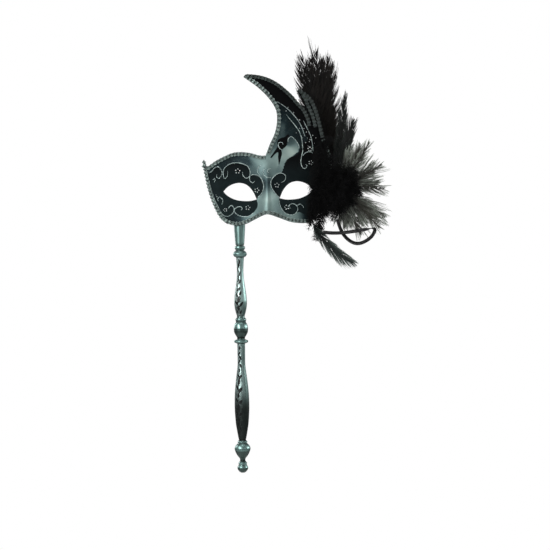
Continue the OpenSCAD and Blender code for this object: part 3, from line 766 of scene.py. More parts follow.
SCROLLS = [
    [(-78, 71.5), (-74.5, 68.5), (-71, 70), (-66.5, 74.5), (-62, 75), (-58.5, 71), (-57.5, 65.5),
     (-61.5, 60.5), (-64.5, 63), (-64, 66)],
    [(-69, 59), (-67.5, 61), (-66.5, 58.5), (-68, 56)],
    [(-50, 69), (-51, 62.5), (-54, 60), (-56, 64.5), (-55, 71.5), (-49.5, 77), (-41.5, 79), (-33, 78),
     (-25, 74), (-22, 67), (-23.5, 61), (-27.5, 59.5), (-31, 63), (-31.5, 67)],
    [(-16.5, 55.5), (-19, 53.5), (-22.5, 56.5), (-22.5, 61), (-19, 63.5), (-13, 62.5), (-8.5, 59),
     (-6, 52.5), (-5.5, 46), (-8.5, 39.5), (-12.5, 35.5)],
    [(-62.5, 32), (-63.5, 34.5), (-61.5, 37), (-58.5, 35.5), (-57, 32), (-58.5, 27.5)],
    [(-60, 19), (-57, 14.5), (-52, 12.5), (-47, 14), (-43.5, 18), (-43, 22.5), (-46, 26), (-48.5, 24.5),
     (-50, 22.5)],
    [(-34, 20), (-32.5, 21.5), (-34.5, 24), (-39, 23.5), (-42.5, 20.5), (-41.5, 16.5), (-36.5, 13),
     (-30, 11.5), (-23.5, 12.5), (-18.5, 16)],
    [(14, 34.5), (8, 41), (4, 47.5), (3.5, 53.5), (6, 59), (11, 63.5), (16.5, 65), (21.5, 62.5),
     (22, 58.5), (20, 55), (16.5, 53.5)],
    [(24, 138.5), (29, 132), (34, 126), (39, 119), (42, 112), (43.5, 103), (44, 93.5), (43.5, 91),
     (42, 84.5), (41.5, 78), (43.5, 72), (47, 71), (49, 74.5), (47, 76.5)],
    [(44, 87), (46.5, 90), (50.5, 92), (54, 92), (56.5, 90.5)],
    [(27.5, 21), (26, 24.5), (29.5, 27), (33.5, 26), (36.5, 22.5), (36, 17.5), (32, 13.5), (26.5, 13),
     (20.5, 15.5), (17, 20), (14.5, 25.5), (13.5, 30.5)],
    [(36, 23.5), (38, 26), (41, 26), (43.5, 23.5), (44, 21.5)],
    [(-79, 75.5), (-76, 65), (-72.5, 50.5), (-67.5, 34.5), (-60.5, 19.5)],
    [(13, 154.5), (19.5, 150.5), (26, 145.5), (31.5, 140), (37, 133.5), (41, 127.5), (44, 120.5),
     (47, 111.5)],
    [(45.5, 131), (48.5, 125), (52.5, 116.5), (55, 109.5), (56.5, 101), (57, 93.5)],
    [(19.5, 101), (18.5, 103), (16.5, 103.5), (14.5, 103), (13.5, 100.5), (14, 98), (15.5, 95.5), (18, 94)],
    [(25.5, 104.5), (26, 108), (28, 110), (30.5, 110.5), (34, 107.5), (37, 104), (39, 100), (39.5, 96.5)],
    [(52, 162.5), (56, 156.5), (60, 148), (63, 139), (65, 131), (66, 126)]]
SWIRLS = [[(-8, 75.5), (-11.5, 73), (-13, 69), (-12, 65), (-9.5, 62)],
          [(-3.5, 70.5), (-5.5, 68), (-5, 63), (-1.5, 60), (4, 59)],
          [(1.5, 65), (-0.5, 67), (0.5, 69.5), (4, 70.5)]]
FLOWERS = [(-37.5, 68.5, 1), (-14, 44, .9), (-54, 20.5, .7), (-25.5, 22.5, .9), (11, 50, .9), (53, 95.5, .9),
           (54, 78.5, .9), (23, 22.5, .9)]
PETAL_OUT, PETAL_R = 2.7, 0.82
DOTS = [(26.5, 147.5), (33, 141), (40.5, 132), (46, 121.5), (40.5, 121), (43.5, 109.5), (50, 109.5),
        (53.5, 107.5), (48, 103.5), (52.5, 105), (59, 103), (36, 115.5), (-65.5, 40), (-64.5, 38),
        (47.5, 126), (51, 99.5), (24, 143), (57, 113), (61, 110), (49, 117)]


def glitter_lines(name, lines, width, material):
    """Raised lines of glitter glue that thin out at both ends."""
    runs = []
    for line in lines:
        path = smooth(place(line), 7)
        share = np.linspace(0, 1, len(path))
        thick = width * (0.55 + 0.45 * np.minimum(1, 6 * np.minimum(share, 1 - share)))
        runs.append((on_face(path, 0.12), thick * 0.9, 0))
    show(name, strands(name, runs, 1), [material])


def glitter_drops():
    """Drops of glitter glue: flowers of five petals round a middle, and single dots."""
    rng = random.Random(11)
    drops = [(d, rng.uniform(0.42, 0.62)) for d in DOTS]
    for a, b, size in FLOWERS:
        first = rng.uniform(0, 72)
        for k in range(5):
            way, out = math.radians(first + 72 * k), PETAL_OUT * size
            drops.append(((a + out * math.cos(way), b + out * math.sin(way)), PETAL_R * size))
    bm = bmesh.new()
    for centre, size in drops:
        at = on_face(place([centre]), 0.05)[0]
        shape = Matrix.Translation(at) @ Matrix.Diagonal((size, size * 0.7, size, 1))
        bmesh.ops.create_icosphere(bm, subdivisions=2, radius=1, matrix=shape)
    show("glitter_drops", as_mesh(bm, "drops"), [PALE_GLITTER])


# ---- the gimp braid ----

WAVE, SWING = 9.4, 1.95  # the length of one cord's wave, and how far it swings to each side
YARN_GAP, YARN_R = 0.24, 0.2
BLACK_CORDS = ((-1.15, 0.5), (0, 0.62), (1.15, 0.5))  # how far off the middle, and the radius


def stations(points, pitch, cuts):
    """Evenly spaced points on a line, with its directions, less what is cut from its ends."""
    line = smooth(place(points), 12)
    run = np.concatenate([[0], np.cumsum(np.linalg.norm(np.diff(line, axis=0), axis=1))])
    count = max(3, int((run[-1] - sum(cuts)) / pitch))
    at = np.linspace(cuts[0], run[-1] - cuts[1], count)
    points = np.stack([np.interp(at, run, line[:, k]) for k in (0, 1)], -1)
    along = np.gradient(points, axis=0)
    for _ in range(3):
        along[1:-1] = (along[:-2] + 2 * along[1:-1] + along[2:]) / 4
    along /= np.linalg.norm(along, axis=1)[:, None]
    return at, points, along


def braid(name, line, *cuts):
    """Two silver cords of two yarns that loop across each other, over black cords."""
    at, points, along = stations(line, 0.5, cuts)
    inward = np.stack([along[:, 1], -along[:, 0]], -1)
    middle = points + inward * BRAID_W * 0.56
    runs, shares = [], []
    for cord in (0, 1):
        turn = 2 * math.pi * at / WAVE + math.pi * cord
        across, slope = SWING * np.sin(turn), 1.3 * np.cos(turn)
        lift = 1.2 + 0.4 * np.sin(2 * turn)
        for side in (-1, 1):
            shift = side * YARN_GAP / np.sqrt(1 + slope ** 2)
            yarn_at = middle + inward * (across + shift)[:, None] - along * (side * 0.2 * slope)[:, None]
            runs.append((on_face(yarn_at, lift), YARN_R + 0.15 * np.abs(np.sin(turn)), 0))
            # Painted light on the silver yarns: a painted highlight where each cord swings out, painted
            # shade where it crosses at the middle
            shares.append(np.abs(np.sin(turn)) ** 2)
    for side, size in BLACK_CORDS:
        wobble = 0.15 * np.sin(4 * math.pi * at / WAVE + side)
        core = on_face(middle + inward * (side + wobble)[:, None], GLUE_T + 0.42)
        runs.append((core, np.full(len(at), size), 1))
        shares.append(np.ones(len(at)))
    mesh = strands(name, runs, 1)
    mark_strands(mesh, shares, 1)
    # The crest's outer braid and the horn braids take the darker copy of the silver yarn, as painted shade
    silver = SHADED_SILVER_YARN if line is CREST_OUTER_BRAID or name.startswith("horn") else SILVER_YARN
    show("gimp_" + name, mesh, [silver, BLACK_YARN], replaces=[name])


# ---- the handle ----

TUBE_R, TUBE_TOP, FOOT_Z = 7, 242, -89.4
MEMBERS = [
    [(0, TUBE_TOP), (TUBE_R - 0.6, TUBE_TOP), (TUBE_R, TUBE_TOP - 0.6)],
    [(TUBE_R, TUBE_TOP - 0.6), (TUBE_R, 220), (5.6, 197.5)],
    [(4.8, 196.4), (4.8, 195.6)],
    [(6.2, 194.6), (6.6, 193), (6.2, 191.4)],
    [(5.3, 190.4), (5.3, 189.4)],
    [(7.4, 188), (8.7, 185), (7.4, 182.2)],
    [(5, 181), (4.6, 176), (4.1, 166), (4.3, 158), (5.2, 149), (6.9, 137.5), (7.8, 129), (8, 124),
     (7.4, 117.5), (6.2, 112), (4.9, 107.6)],
    [(5.2, 105), (6.6, 103.8), (6.8, 102.4), (6.4, 101)],
    [(6.2, 99.6), (8, 96.6), (8.8, 93), (8.9, 90), (8.6, 87.2), (7.4, 84.4), (5, 80.4)],
    [(5, 78), (8.2, 76.8), (8.9, 75.4), (8.2, 74)],
    [(4.9, 72.6), (4.8, 60), (4.8, 48), (5.5, 40), (6.8, 30), (8.2, 17.5), (8.9, 8), (9.2, -3),
     (9, -14), (8, -27.5), (6.9, -35), (5.6, -42.5), (4.4, -48.6)],
    [(5.6, -49.6), (6.2, -50.8), (5.6, -52)],
    [(6.4, -53.2), (8.6, -55.4), (10, -59), (9, -63), (6.8, -67.5), (3.6, -71.8), (3.4, -74.5)],
    [(4.6, -76), (5.4, -77.4), (5, -79)],
    [(5.6, -80.4), (6.7, -83), (6.2, -85.6), (4.4, -88), (2.4, FOOT_Z)],
    [(2.4, FOOT_Z), (0, FOOT_Z)]]
# Heights of the grooves between the turned members, where painted shade darkens the lacquer
GROOVES = (196, 189.9, 181.2, 106.2, 100.2, 90.6, 79.2, 73.2, -49, -52.6, -75.3, -79.8)
UNDERSIDES = ((91, 79), (-60, -76), (-82, -95))  # where each shaded underside starts and ends
UPPER_SPINDLE, LOWER_SPINDLE = (107, 181), (-43, 72)
# The painted leaves: height, way round in degrees from the front, length, width and tilt
LEAVES = [
    (171, -28, 7, 1.5, 12), (165, -44, 6, 1.3, -25), (160, -10, 6, 1.3, 20), (155, -34, 7, 1.6, -12),
    (150, -8, 6, 1.4, 28), (146, -48, 5, 1.4, -30), (141, -20, 6, 1.8, 40), (136, 0, 6, 1.6, 15),
    (134, -38, 5, 1.8, -35), (128, -16, 8, 2.2, 10), (124, -40, 7, 2, -38), (122, 6, 7, 2, 36),
    (117, -20, 7, 1.8, -8), (113, -38, 5, 1.4, -20), (112, 0, 5, 1.4, 22), (176, -12, 5, 1.2, -14),
    (67, -22, 5, 1.6, 0), (60, -36, 6, 1.3, 30), (55, -14, 6, 1.3, -28), (50, -34, 6, 1.4, 28),
    (45, -12, 6, 1.4, -26), (39, -28, 5, 1.6, 0), (33, -40, 6, 1.7, -34), (31, -12, 6, 1.7, 34),
    (25, -26, 9, 2, 6), (18, -42, 8, 2, -30), (15, -10, 8, 2, 30), (8, -26, 5, 2, 0), (2, -40, 6, 1.8, -36),
    (0, -10, 6, 1.8, 34), (-7, -26, 9, 2, -4), (-14, -42, 6, 1.7, -28), (-15, -10, 6, 1.7, 28),
    (-22, -26, 5, 1.8, 0), (-28, -34, 6, 1.5, 24), (-33, -18, 5, 1.5, -20), (-38, -28, 5, 1.2, 8)]


def pattern(around, height, radius):
    """How far inside the painted leaves a place on the handle is: around is in radians from the front."""
    best = np.full(len(height), -9.0)
    for z, degrees, length, width, tilt in LEAVES:
        for turn in (0, 180):
            gap = np.angle(np.exp(1j * (around - math.radians(degrees + turn)))) * radius
            lean = math.radians(tilt)
            up = (height - z) * math.cos(lean) + gap * math.sin(lean)
            across = -(height - z) * math.sin(lean) + gap * math.cos(lean)
            share = np.abs(2 * up / (length * 1.25))
            beyond = np.where(share > 1, (1 - share) * length / 2, 0)
            half = width * 0.85 * np.maximum(1 - share ** 2, 0) + beyond
            best = np.maximum(best, half - np.abs(across))
    return best


def handle():
    """One turned stick, with where it is painted and where painted shade lies kept on its vertices."""
    profile = []
    for member in MEMBERS:
        profile.extend(smooth(member, 8).tolist())
    bm = bmesh.new()
    points = [bm.verts.new((0 if r < 1e-6 else r, 0, z)) for r, z in profile]
    edges = [bm.edges.new(pair) for pair in zip(points, points[1:])]
    bmesh.ops.spin(bm, geom=points + edges, cent=(0, 0, 0), axis=(0, 0, 1), angle=2 * math.pi, steps=96,
                   use_merge=True)
    bmesh.ops.remove_doubles(bm, verts=bm.verts, dist=0.002)
    long_edges = [e for e in bm.edges if abs(e.verts[0].co.z - e.verts[1].co.z) > 1.6]
    bmesh.ops.subdivide_edges(bm, edges=long_edges, cuts=2, use_grid_fill=True)
    bmesh.ops.recalc_face_normals(bm, faces=bm.faces)
    mesh = as_mesh(bm, "handle")
    x, y, z = vertices(mesh).T
    radius, around = np.hypot(x, y), np.arctan2(x, -y)
    painted = sum((z > low) & (z < high) for low, high in (UPPER_SPINDLE, LOWER_SPINDLE)) > 0
    mark(mesh, "motif", np.where(painted, pattern(around, z, radius), -5))
    left = around + 0.6
    opposite = np.angle(np.exp(1j * (left - math.pi)))
    facing = np.maximum(gauss(left / 0.75) ** 0.7, gauss(opposite / 0.75) ** 0.7)
    mark(mesh, "ground", np.where(painted, facing, 0.0))
    # Painted shade: dark in the grooves, toward the foot of each spindle, on the lower spindle's right side
    # and on the undersides
    groove = sum(gauss((z - at) / 1.1) for at in GROOVES)
    spindle_foot_shade = 0.95 * ramp((30 - z) / 40) + 0.4 * ramp((131 - z) / 20) * (z > 107)
    right_side = 0.55 * gauss((around - 0.75) / 0.55) * ((z < 71) & (z > -49))
    under = 0.8 * sum(ramp((top - z) / 3) * (z > low) for top, low in UNDERSIDES)
    dark = np.maximum(np.maximum(spindle_foot_shade * (z > -49), right_side), under)
    mark(mesh, "shade", np.clip(groove * 0.8 + dark, 0, 1))
    show("turned_handle", mesh, [LACQUER], replaces=["handle"], sharp=35)


# ---- glue ----

def glue_lump(name, lumps, replaced):
    """Round dabs of glue that have run together."""
    bm = bmesh.new()
    for x, y, z, wide, deep, high in lumps:
        dab = Matrix.Translation((x, y, z)) @ Matrix.Diagonal((wide, deep, high, 1))
        bmesh.ops.create_icosphere(bm, subdivisions=3, radius=1, matrix=dab)
    obj = bpy.data.objects.new(name, as_mesh(bm, name))
    fuse = obj.modifiers.new("fuse", "REMESH")
    fuse.mode, fuse.voxel_size = "VOXEL", 0.5
    even = obj.modifiers.new("even", "SMOOTH")
    even.factor, even.iterations = 0.8, 6
    show(name, shaped(obj), [HOT_GLUE], replaces=[replaced])


def glue():
    """The bead beside the handle's tube, and the dabs behind the plume and the spray."""
    rng = random.Random(5)
    lumps = []
    for side in (-1, 1):
        for k in range(6):
            x, z = side * (5.5 + rng.uniform(-0.6, 0.8)), 226 + 2.7 * k
            back = float(front(np.array([x]), np.array([z]))[0]) + SHELL_T + LINING_T
            lumps.append((x, back + 1.2, z, 2.6 + rng.uniform(-0.3, 0.5), 2.2, 2.6 + rng.uniform(-0.2, 0.5)))
    glue_lump("handle_glue_bead", lumps, "handle_glue")
    post = [(*spray(8, 7.5 + 1.6 * k, 4 + 0.5 * k), 5.6 - 0.3 * k, 2.2, 5.4) for k in range(4)]
    glue_lump("plume_glue_bead", post, "plume_glue")
    pad = [(*spray(-1.5, deep, 4), 4.6, 1.6, 4.6) for deep in (-3.0, -1.4, 0.0)]
    glue_lump("spray_glue_bead", pad, "feather_glue")


# ---- feathers ----

BARB_STEPS = 4


def vane(s):
    """How wide a vane is at shares of its length, as a share of its full width."""
    return np.maximum(np.sin(np.pi * np.clip(s, 0, 1) ** 0.8), 0) ** 0.7


def quill_line(root, turn, length, bow, s):
    """Points of a feather's quill, right and up in the spray's frame, for shares of its length."""
    a = math.radians(turn)
    x, y = bow * s * s, length * s
    cos, sin = math.cos(a), math.sin(a)
    return np.stack([root[0] + x * cos + y * sin, root[1] - x * sin + y * cos], -1)


def feather(rng, root, turn, length, width, bow, deep, *, rows, opening, clump, loose, thick, quill,
            start_at, cling=0.45, ragged=(0.74, 1.14)):
    """A feather's quill and its barbs as runs for strands. The barbs of a clump cling together.

    rows is the number of barbs on each side, and opening their angle from the quill near the root and near
    the tip. loose is how far clumps stand out of the vane, and ragged how much their lengths differ.
    """
    s = np.linspace(0, 1, 16)
    line = quill_line(root, turn, length, bow, s)
    runs = [(spray(line[:, 0], deep, line[:, 1]), quill * (1 - 0.85 * s), 1)]
    for side in (-1, 1):
        base = np.sort(start_at + (0.97 - start_at) * rng.random(rows))
        member = (np.arange(rows) + rng.integers(0, clump)) // clump
        groups = member.max() + 1
        lead = np.array([base[member == g].mean() if (member == g).any() else 0 for g in range(groups)])
        group_turn, group_long = rng.normal(0, 3.5, groups), rng.uniform(*ragged, groups)
        group_deep = rng.normal(0, loose, groups)

        def reaches(shares, turns, longs):
            """Where barbs leave the quill and where they end, and how long they are."""
            at = quill_line(root, turn, length, bow, shares)
            ahead = quill_line(root, turn, length, bow, shares + 0.01) - at
            ahead /= np.linalg.norm(ahead, axis=1)[:, None]
            right = np.stack([ahead[:, 1], -ahead[:, 0]], -1) * side
            angle = np.radians(np.maximum(opening[0] + (opening[1] - opening[0]) * shares + turns, 7))
            reach = (0.8 + width / 2 * vane(shares + 0.06)) / np.sin(angle)
            reach = np.minimum(reach, (1.04 - shares) * length / np.cos(angle) + 1.5) * longs
            way = right * np.sin(angle)[:, None] + ahead * np.cos(angle)[:, None]
            spread = right * np.sin(angle * 1.35)[:, None] + ahead * np.cos(angle * 1.35)[:, None]
            return at, at + way * reach[:, None], spread, reach

        _, tips, _, _ = reaches(lead, group_turn, group_long)
        at, ends, spread, reach = reaches(base, group_turn[member] + rng.normal(0, 2.5, rows),
                                          group_long[member] * rng.uniform(0.85, 1.08, rows))
        hold = rng.uniform(0.5, 1, rows)[:, None] * cling
        ends = ends * (1 - hold) + (tips[member] + rng.normal(0, 0.4, (rows, 2))) * hold
        middle = at + spread * (reach * 0.5)[:, None]
        t = np.linspace(0, 1, BARB_STEPS + 1)
        weights = ((1 - t) ** 2, 2 * t * (1 - t), t ** 2)
        spots = sum(w[None, :, None] * p[:, None, :] for w, p in zip(weights, (at, middle, ends)))
        off = group_deep[member] + rng.normal(0, 0.15, rows)
        deeps = deep + off[:, None] * t
        taper = thick * (1 - 0.85 * t ** 0.8)
        for j in range(rows):
            runs.append((spray(spots[j, :, 0], deeps[j], spots[j, :, 1]), taper, 0))
    return runs


def down(rng, root, aim, length, fluff, count, thick=0.18, curl=0.3):
    """A soft down plume: a thin quill with fluff all round it. root and aim are right, depth and up."""
    root, aim = np.array(root, float), np.array(aim, float)
    aim /= np.linalg.norm(aim)
    other = np.cross(aim, rng.normal(size=3))
    other /= np.linalg.norm(other)
    s = np.linspace(0, 1, 6)
    line = root + aim * (length * s)[:, None] + other * (length * curl * s ** 2)[:, None]
    runs = [(spray(line[:, 0], line[:, 1], line[:, 2]), 0.28 * (1 - 0.7 * s), 1)]
    base = 0.08 + 0.9 * rng.random(count)
    at = np.stack([np.interp(base, s, line[:, k]) for k in range(3)], -1)
    out = rng.normal(size=(count, 3))
    out -= (out @ aim)[:, None] * aim
    out /= np.linalg.norm(out, axis=1)[:, None]
    long = fluff * rng.uniform(0.55, 1.1, count) * (0.5 + 0.8 * np.sin(np.pi * np.clip(base, 0, 0.95)))
    for j in range(count):
        t = np.linspace(0, 1, 4)[:, None]
        wave = rng.normal(size=3) * 0.25
        path = at[j] + long[j] * (out[j] * t + aim * (0.35 * t + 0.35 * t ** 2) + wave * t ** 2)
        runs.append((spray(path[:, 0], path[:, 1], path[:, 2]), thick * (1 - 0.75 * t[:, 0]), 0))
    return runs


def plumage(name, runs, materials, body, replaced):
    """One piece of quills and barbs, each barb lighter toward its end."""
    mesh = strands(name, runs)
    mark_strands(mesh, [np.linspace(0, 1, len(points)) ** 2 if number == 0 else np.zeros(len(points))
                        for points, _, number in runs])
    show(name, mesh, materials, body, replaced)


PLUME_ROOT, PLUME_LAYER, PLUME_LEN = (8, 4), 13, 184
# Each feather's turn, its share of the full length, its width and its bow
PLUME_SET = [("plume_left", -3.5, 0.97, 32, -20), ("plume_middle", 1.5, 1, 35, -14),
             ("plume_right", 7, 0.97, 30, -12)]
# The hackles of one plume: turn, share of its length and share of its width
PLUME_HACKLES = [(0.5, 1, 1.1), (-2, 0.95, 1), (3, 0.94, 1.05), (1, 0.8, 1), (6, 0.52, 1), (12, 0.4, 1)]


def plumes():
    """The tall plume: three clusters of hackles, one behind another."""
    for i, (name, turn, share, width, bow) in enumerate(PLUME_SET):
        rng = np.random.default_rng(40 + i)
        runs = []
        for k, (tilt, long, wide) in enumerate(PLUME_HACKLES):
            runs += feather(rng, PLUME_ROOT, turn + tilt, PLUME_LEN * share * long, width * wide, bow * long,
                            depth(PLUME_LAYER + i * 1.5) + (k - 2.5) * 0.3, rows=205, opening=(44, 20),
                            clump=9, loose=0.7, thick=0.5, quill=0.9, start_at=0.05)
        plumage("hackles_" + name, runs, [PLUME_BARBS, DARK_QUILL], "plume", [name])


SIDE_ROOT, SIDE_LEN = (24, 10), 122
# Each feather's turn, share of the full length, width, bow and layer
SIDE_SET = [("side_feather_long", 5.2, 1, 15, 2, 5), ("side_feather_short", 11, 0.72, 18, 8, 4)]
SIDE_HACKLES = [(1.5, 0.82, 0.75), (-3, 0.8, 0.8), (-9, 0.62, 1.2)]


def side_feathers():
    """Two pointed feathers with slimmer hackles beside them. The long one has none that leans far left."""
    for i, (name, turn, share, width, bow, layer) in enumerate(SIDE_SET):
        rng = np.random.default_rng(60 + i)
        runs = feather(rng, SIDE_ROOT, turn, SIDE_LEN * share, width, bow, depth(layer), rows=220,
                       opening=(34, 15), clump=8, loose=0.4, thick=0.42, quill=0.7, start_at=0.08)
        for tilt, long, wide in SIDE_HACKLES[:2 + i]:
            runs += feather(rng, SIDE_ROOT, turn + tilt, SIDE_LEN * share * long, width * wide, bow,
                            depth(layer) + 0.5 + 0.05 * tilt, rows=170, opening=(38, 17), clump=8, loose=0.4,
                            thick=0.4, quill=0.5, start_at=0.05)
        plumage("hackle_" + name, runs, [SIDE_BARBS, DARK_QUILL], "side_feathers", [name])


FAN_ROOT, FAN_START, FAN_LEN = (24, 8), 9, 66
# Each feather's turn, share of the full length, width and bow
FAN_SET = [(28, 0.9, 17, 4), (44, 1.06, 16, -8), (70, 0.98, 22, -6), (88, 0.98, 18, 6),
           (118, 1.14, 20, 4), (133, 1.18, 22, 0), (150, 1.02, 22, 4), (172, 0.76, 19, 0)]
FAN_LAYERS = [3, 2, 1]
# The turns of the two hackles beside each feather
FAN_SIDES = [(-7, -12), (-7, 5), (-6, 6), (-9, -3), (5, 9), (-7, 7), (-8, 8), (-7, 7)]
FIRST_SHARE = 0.82  # the first feather's hackles are this share as long
PALE_ONE = 6  # the feather with a pale quill


def fan_feathers():
    """Eight spiky feathers, each a main hackle with a shorter one on each side."""
    for i, (turn, share, width, bow) in enumerate(FAN_SET):
        rng = np.random.default_rng(80 + i)
        runs = []
        one, other = FAN_SIDES[i]
        for k, (tilt, long, wide) in enumerate([(0, 1.05, 1), (one, 0.9, 0.85), (other, 0.8, 0.85)]):
            long *= FIRST_SHARE if i == 0 else 1
            a = math.radians(turn + tilt)
            root = (FAN_ROOT[0] + FAN_START * math.sin(a), FAN_ROOT[1] + FAN_START * math.cos(a))
            runs += feather(rng, root, turn + tilt, (FAN_LEN - FAN_START) * share * long, width * wide, bow,
                            depth(FAN_LAYERS[i % 3]) + (k - 1) * 0.35, rows=108, opening=(30, 13), clump=10,
                            loose=0.7, thick=0.28, quill=0.5, start_at=0.05, cling=0.85, ragged=(0.6, 1.25))
        quill = PALE_QUILL if i == PALE_ONE else DARK_QUILL
        plumage(f"spray_feather_{i + 1}", runs, [FAN_BARBS, quill], "root",
                [f"fan_feather_{i + 1}"])


# Each tuft's root, turn, length, width and bow
TUFT_SET = [((-2, 30), 200, 78, 19, -8), ((-2, 4), 190, 68, 18, -4), ((-1, 68), 191, 88, 24, -2)]


def tufts():
    """Marabou that hangs over the shell's side: soft vanes with loose down on them."""
    for i, (root, turn, length, width, bow) in enumerate(TUFT_SET):
        rng = np.random.default_rng(100 + i)
        deep = depth(-2 - i)
        runs = feather(rng, root, turn, length, width, bow, deep, rows=300, opening=(56, 28), clump=6,
                       loose=0.9, thick=0.34, quill=0.5, start_at=0.03)
        spots = quill_line(root, turn, length, bow, np.linspace(0.05, 0.9, 12))
        for u, v in spots:
            for side in (-1, 1):
                aim = (side * 0.8 + rng.normal() * 0.3, -0.35, -1 + rng.normal() * 0.3)
                runs += down(rng, (u, deep - 0.3, v), aim, rng.uniform(7, 10), 4.2, 36)
        if i == 2:
            for v in np.linspace(14, 62, 26):
                aim = (0.5 + rng.normal() * 0.3, -0.25, rng.choice([-1, 1]))
                runs += down(rng, (rng.uniform(-1, 4), deep - 0.3, v), aim, rng.uniform(9, 13), 5.5, 60)
        plumage(f"marabou_tuft_{i + 1}", runs, [DOWN, DARK_QUILL], "root",
                [f"temple_tuft_{i + 1}"])


HANGING_ROOT, HANGING_TURN, HANGING_LEN, HANGING_BOW, HANGING_LAYER = (-18, -41), 148, 74, -24, -4.5


def hanging_feather():
    """One slender feather with a green sheen, its barbs close to the quill."""
    rng = np.random.default_rng(120)
    runs = feather(rng, HANGING_ROOT, HANGING_TURN, HANGING_LEN, 15, HANGING_BOW, depth(HANGING_LAYER),
                   rows=340, opening=(26, 10), clump=12, loose=0.3, thick=0.32, quill=0.55, start_at=0.02,
                   ragged=(0.9, 1.08))
    plumage("hanging_hackle", runs, [SHEEN_BARBS, DARK_QUILL], "hanging",
            ["hanging_feather"])


ROSETTE_AT, ROSETTE_BACK = (22, 8), -10.25
RIM_PLUMES, BED_PLUMES, LOW_PLUMES = 40, 90, 36
RIM_R, BED_R = 13, 17


def ring(side, up, radius, way):
    """A place round a middle that is off the rosette's own by side and up, as right and up."""
    return ROSETTE_AT[0] + side + radius * math.cos(way), ROSETTE_AT[1] + up + radius * math.sin(way)


def rosette():
    """A cushion of down plumes that lean outward from the middle, with more that hang below it."""
    rng = np.random.default_rng(140)
    runs = []
    for _ in range(RIM_PLUMES):
        way = rng.uniform(0, 2 * math.pi)
        right, up = ring(-4, -6, RIM_R, way)
        root = (right, ROSETTE_BACK - rng.random(), up)
        aim = (math.cos(way), -0.1, math.sin(way) - 0.2)
        runs += down(rng, root, aim, rng.uniform(12, 17), 6.5, 60)
    for _ in range(BED_PLUMES):
        way, out = rng.uniform(0, 2 * math.pi), math.sqrt(rng.random())
        right, up = ring(0, 0, BED_R * out, way)
        root = (right, ROSETTE_BACK - 1 - 2 * rng.random(), up)
        aim = (1.3 * out * math.cos(way) + rng.normal() * 0.2, -(1.05 - 0.85 * out),
               1.3 * out * math.sin(way) + rng.normal() * 0.2)
        runs += down(rng, root, aim, rng.uniform(8, 11) + 4 * out, 5.4, 62)
    for _ in range(LOW_PLUMES):
        root = (rng.uniform(-4, 20), ROSETTE_BACK + 3, rng.uniform(-16, -4))
        runs += down(rng, root, (rng.normal() * 0.35, -0.05, -1), rng.uniform(14, 24), 6.0, 70)
    plumage("marabou_rosette", runs, [DOWN, DARK_QUILL], "root", ["rosette"])


def rosette_heart():
    """The close bed of down in the middle of the rosette, under the loose plumes."""
    bm = bmesh.new()
    at = Matrix.Translation(spray(ROSETTE_AT[0] - 5, ROSETTE_BACK - 1.5, ROSETTE_AT[1] - 6))
    flat = Matrix.Rotation(SPRAY_TURN, 4, "Z") @ Matrix.Diagonal((21, 3.2, 22, 1))
    bmesh.ops.create_icosphere(bm, subdivisions=5, radius=1, matrix=at @ flat)
    rng = random.Random(8)
    for v in bm.verts:
        v.co += v.normal * rng.uniform(-0.3, 1.1)
    show("rosette_heart", as_mesh(bm, "heart"), [DOWN])


# ---- the ribbon ----

RIBBON = [(-5, -12, -51), (6, -12.5, -52), (18, -13, -52), (30, -13, -51), (42, -12.5, -49.5),
          (54, -12, -47.8), (63, -11.5, -46.2), (68.5, -10.8, -46.3), (69.8, -9.8, -49.5), (67, -9, -55),
          (62, -8.5, -59.5), (56, -8.5, -62.8), (50, -8.5, -64.8), (44, -8.5, -65.2), (38, -8.5, -63.6),
          (32, -8.5, -60), (26.5, -8.5, -54.8), (22.5, -8.5, -48.5), (19.5, -8.5, -41.5),
          (17.2, -8.5, -34.5)]
RIBBON_W, RIBBON_T, RIBBON_ACROSS = 4.4, 0.3, 6
BAND_UV = (0.022, 0.8)  # how much of the weave runs across and along the band


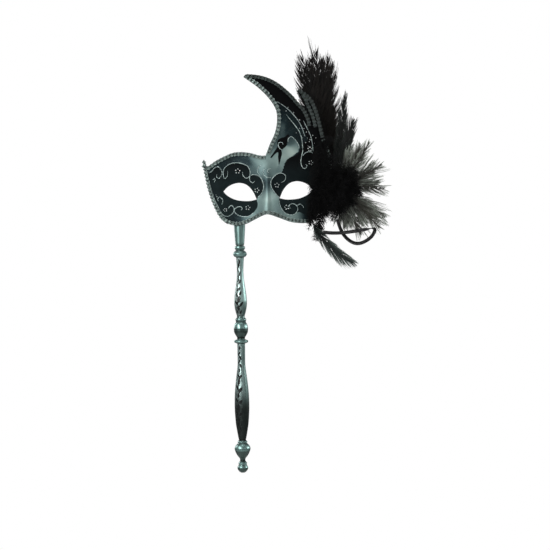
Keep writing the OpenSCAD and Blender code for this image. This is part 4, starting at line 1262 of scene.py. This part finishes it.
def ribbon():
    """A flat satin band that turns over on its way round the loop."""
    line = smooth(RIBBON, 6)
    path = spray(line[:, 0], line[:, 1], line[:, 2])
    run = np.concatenate([[0], np.cumsum(np.linalg.norm(np.diff(path, axis=0), axis=1))])
    along = np.gradient(path, axis=0)
    along /= np.linalg.norm(along, axis=1)[:, None]
    away = spray(0, 1, 0) - spray(0, 0, 0)
    flat = np.cross(along, away)
    flat /= np.linalg.norm(flat, axis=1)[:, None]
    share = run / run[-1]
    turn = math.pi * ramp((share - 0.33) / 0.22) + 0.25 * np.sin(share * 9)
    side = flat * np.cos(turn)[:, None] + away * np.sin(turn)[:, None]
    proud = np.cross(along, side)
    bm = bmesh.new()
    bm.loops.layers.uv.new("band")
    rows = len(path)
    bmesh.ops.create_grid(bm, x_segments=RIBBON_ACROSS, y_segments=rows - 1, size=0.5, calc_uvs=True)
    bm.verts.ensure_lookup_table()
    for v in bm.verts:
        k, across = round((v.co.y + 0.5) * (rows - 1)), v.co.x
        v.co = path[k] + side[k] * (across * RIBBON_W) + proud[k] * (0.5 * (1 - 4 * across * across))
    mesh = as_mesh(bm, "ribbon")
    corners = np.empty(len(mesh.loops) * 2, np.float32)
    mesh.uv_layers[0].data.foreach_get("uv", corners)
    corners = corners.reshape(-1, 2) * BAND_UV
    mesh.uv_layers[0].data.foreach_set("uv", corners.astype(np.float32).ravel())
    obj = bpy.data.objects.new("ribbon", mesh)
    thick = obj.modifiers.new("thick", "SOLIDIFY")
    thick.thickness, thick.offset = RIBBON_T, 0
    made = show("satin_ribbon", shaped(obj), [SATIN], replaces=["ribbon_loop"], sharp=60)


ribbon()
shell()
lining()
glitter_lines("glitter_scrolls", SCROLLS, 0.5, GLITTER)
glitter_lines("paint_swirls", SWIRLS, 0.42, GLITTER)
glitter_drops()
for braid_name, measures in BRAIDS.items():
    braid(braid_name, *measures)
handle()
glue()
plumes()
side_feathers()
fan_feathers()
tufts()
hanging_feather()
rosette()
rosette_heart()

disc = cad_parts["feather_disc"]
disc.data.materials.clear()
disc.data.materials.append(FELT)
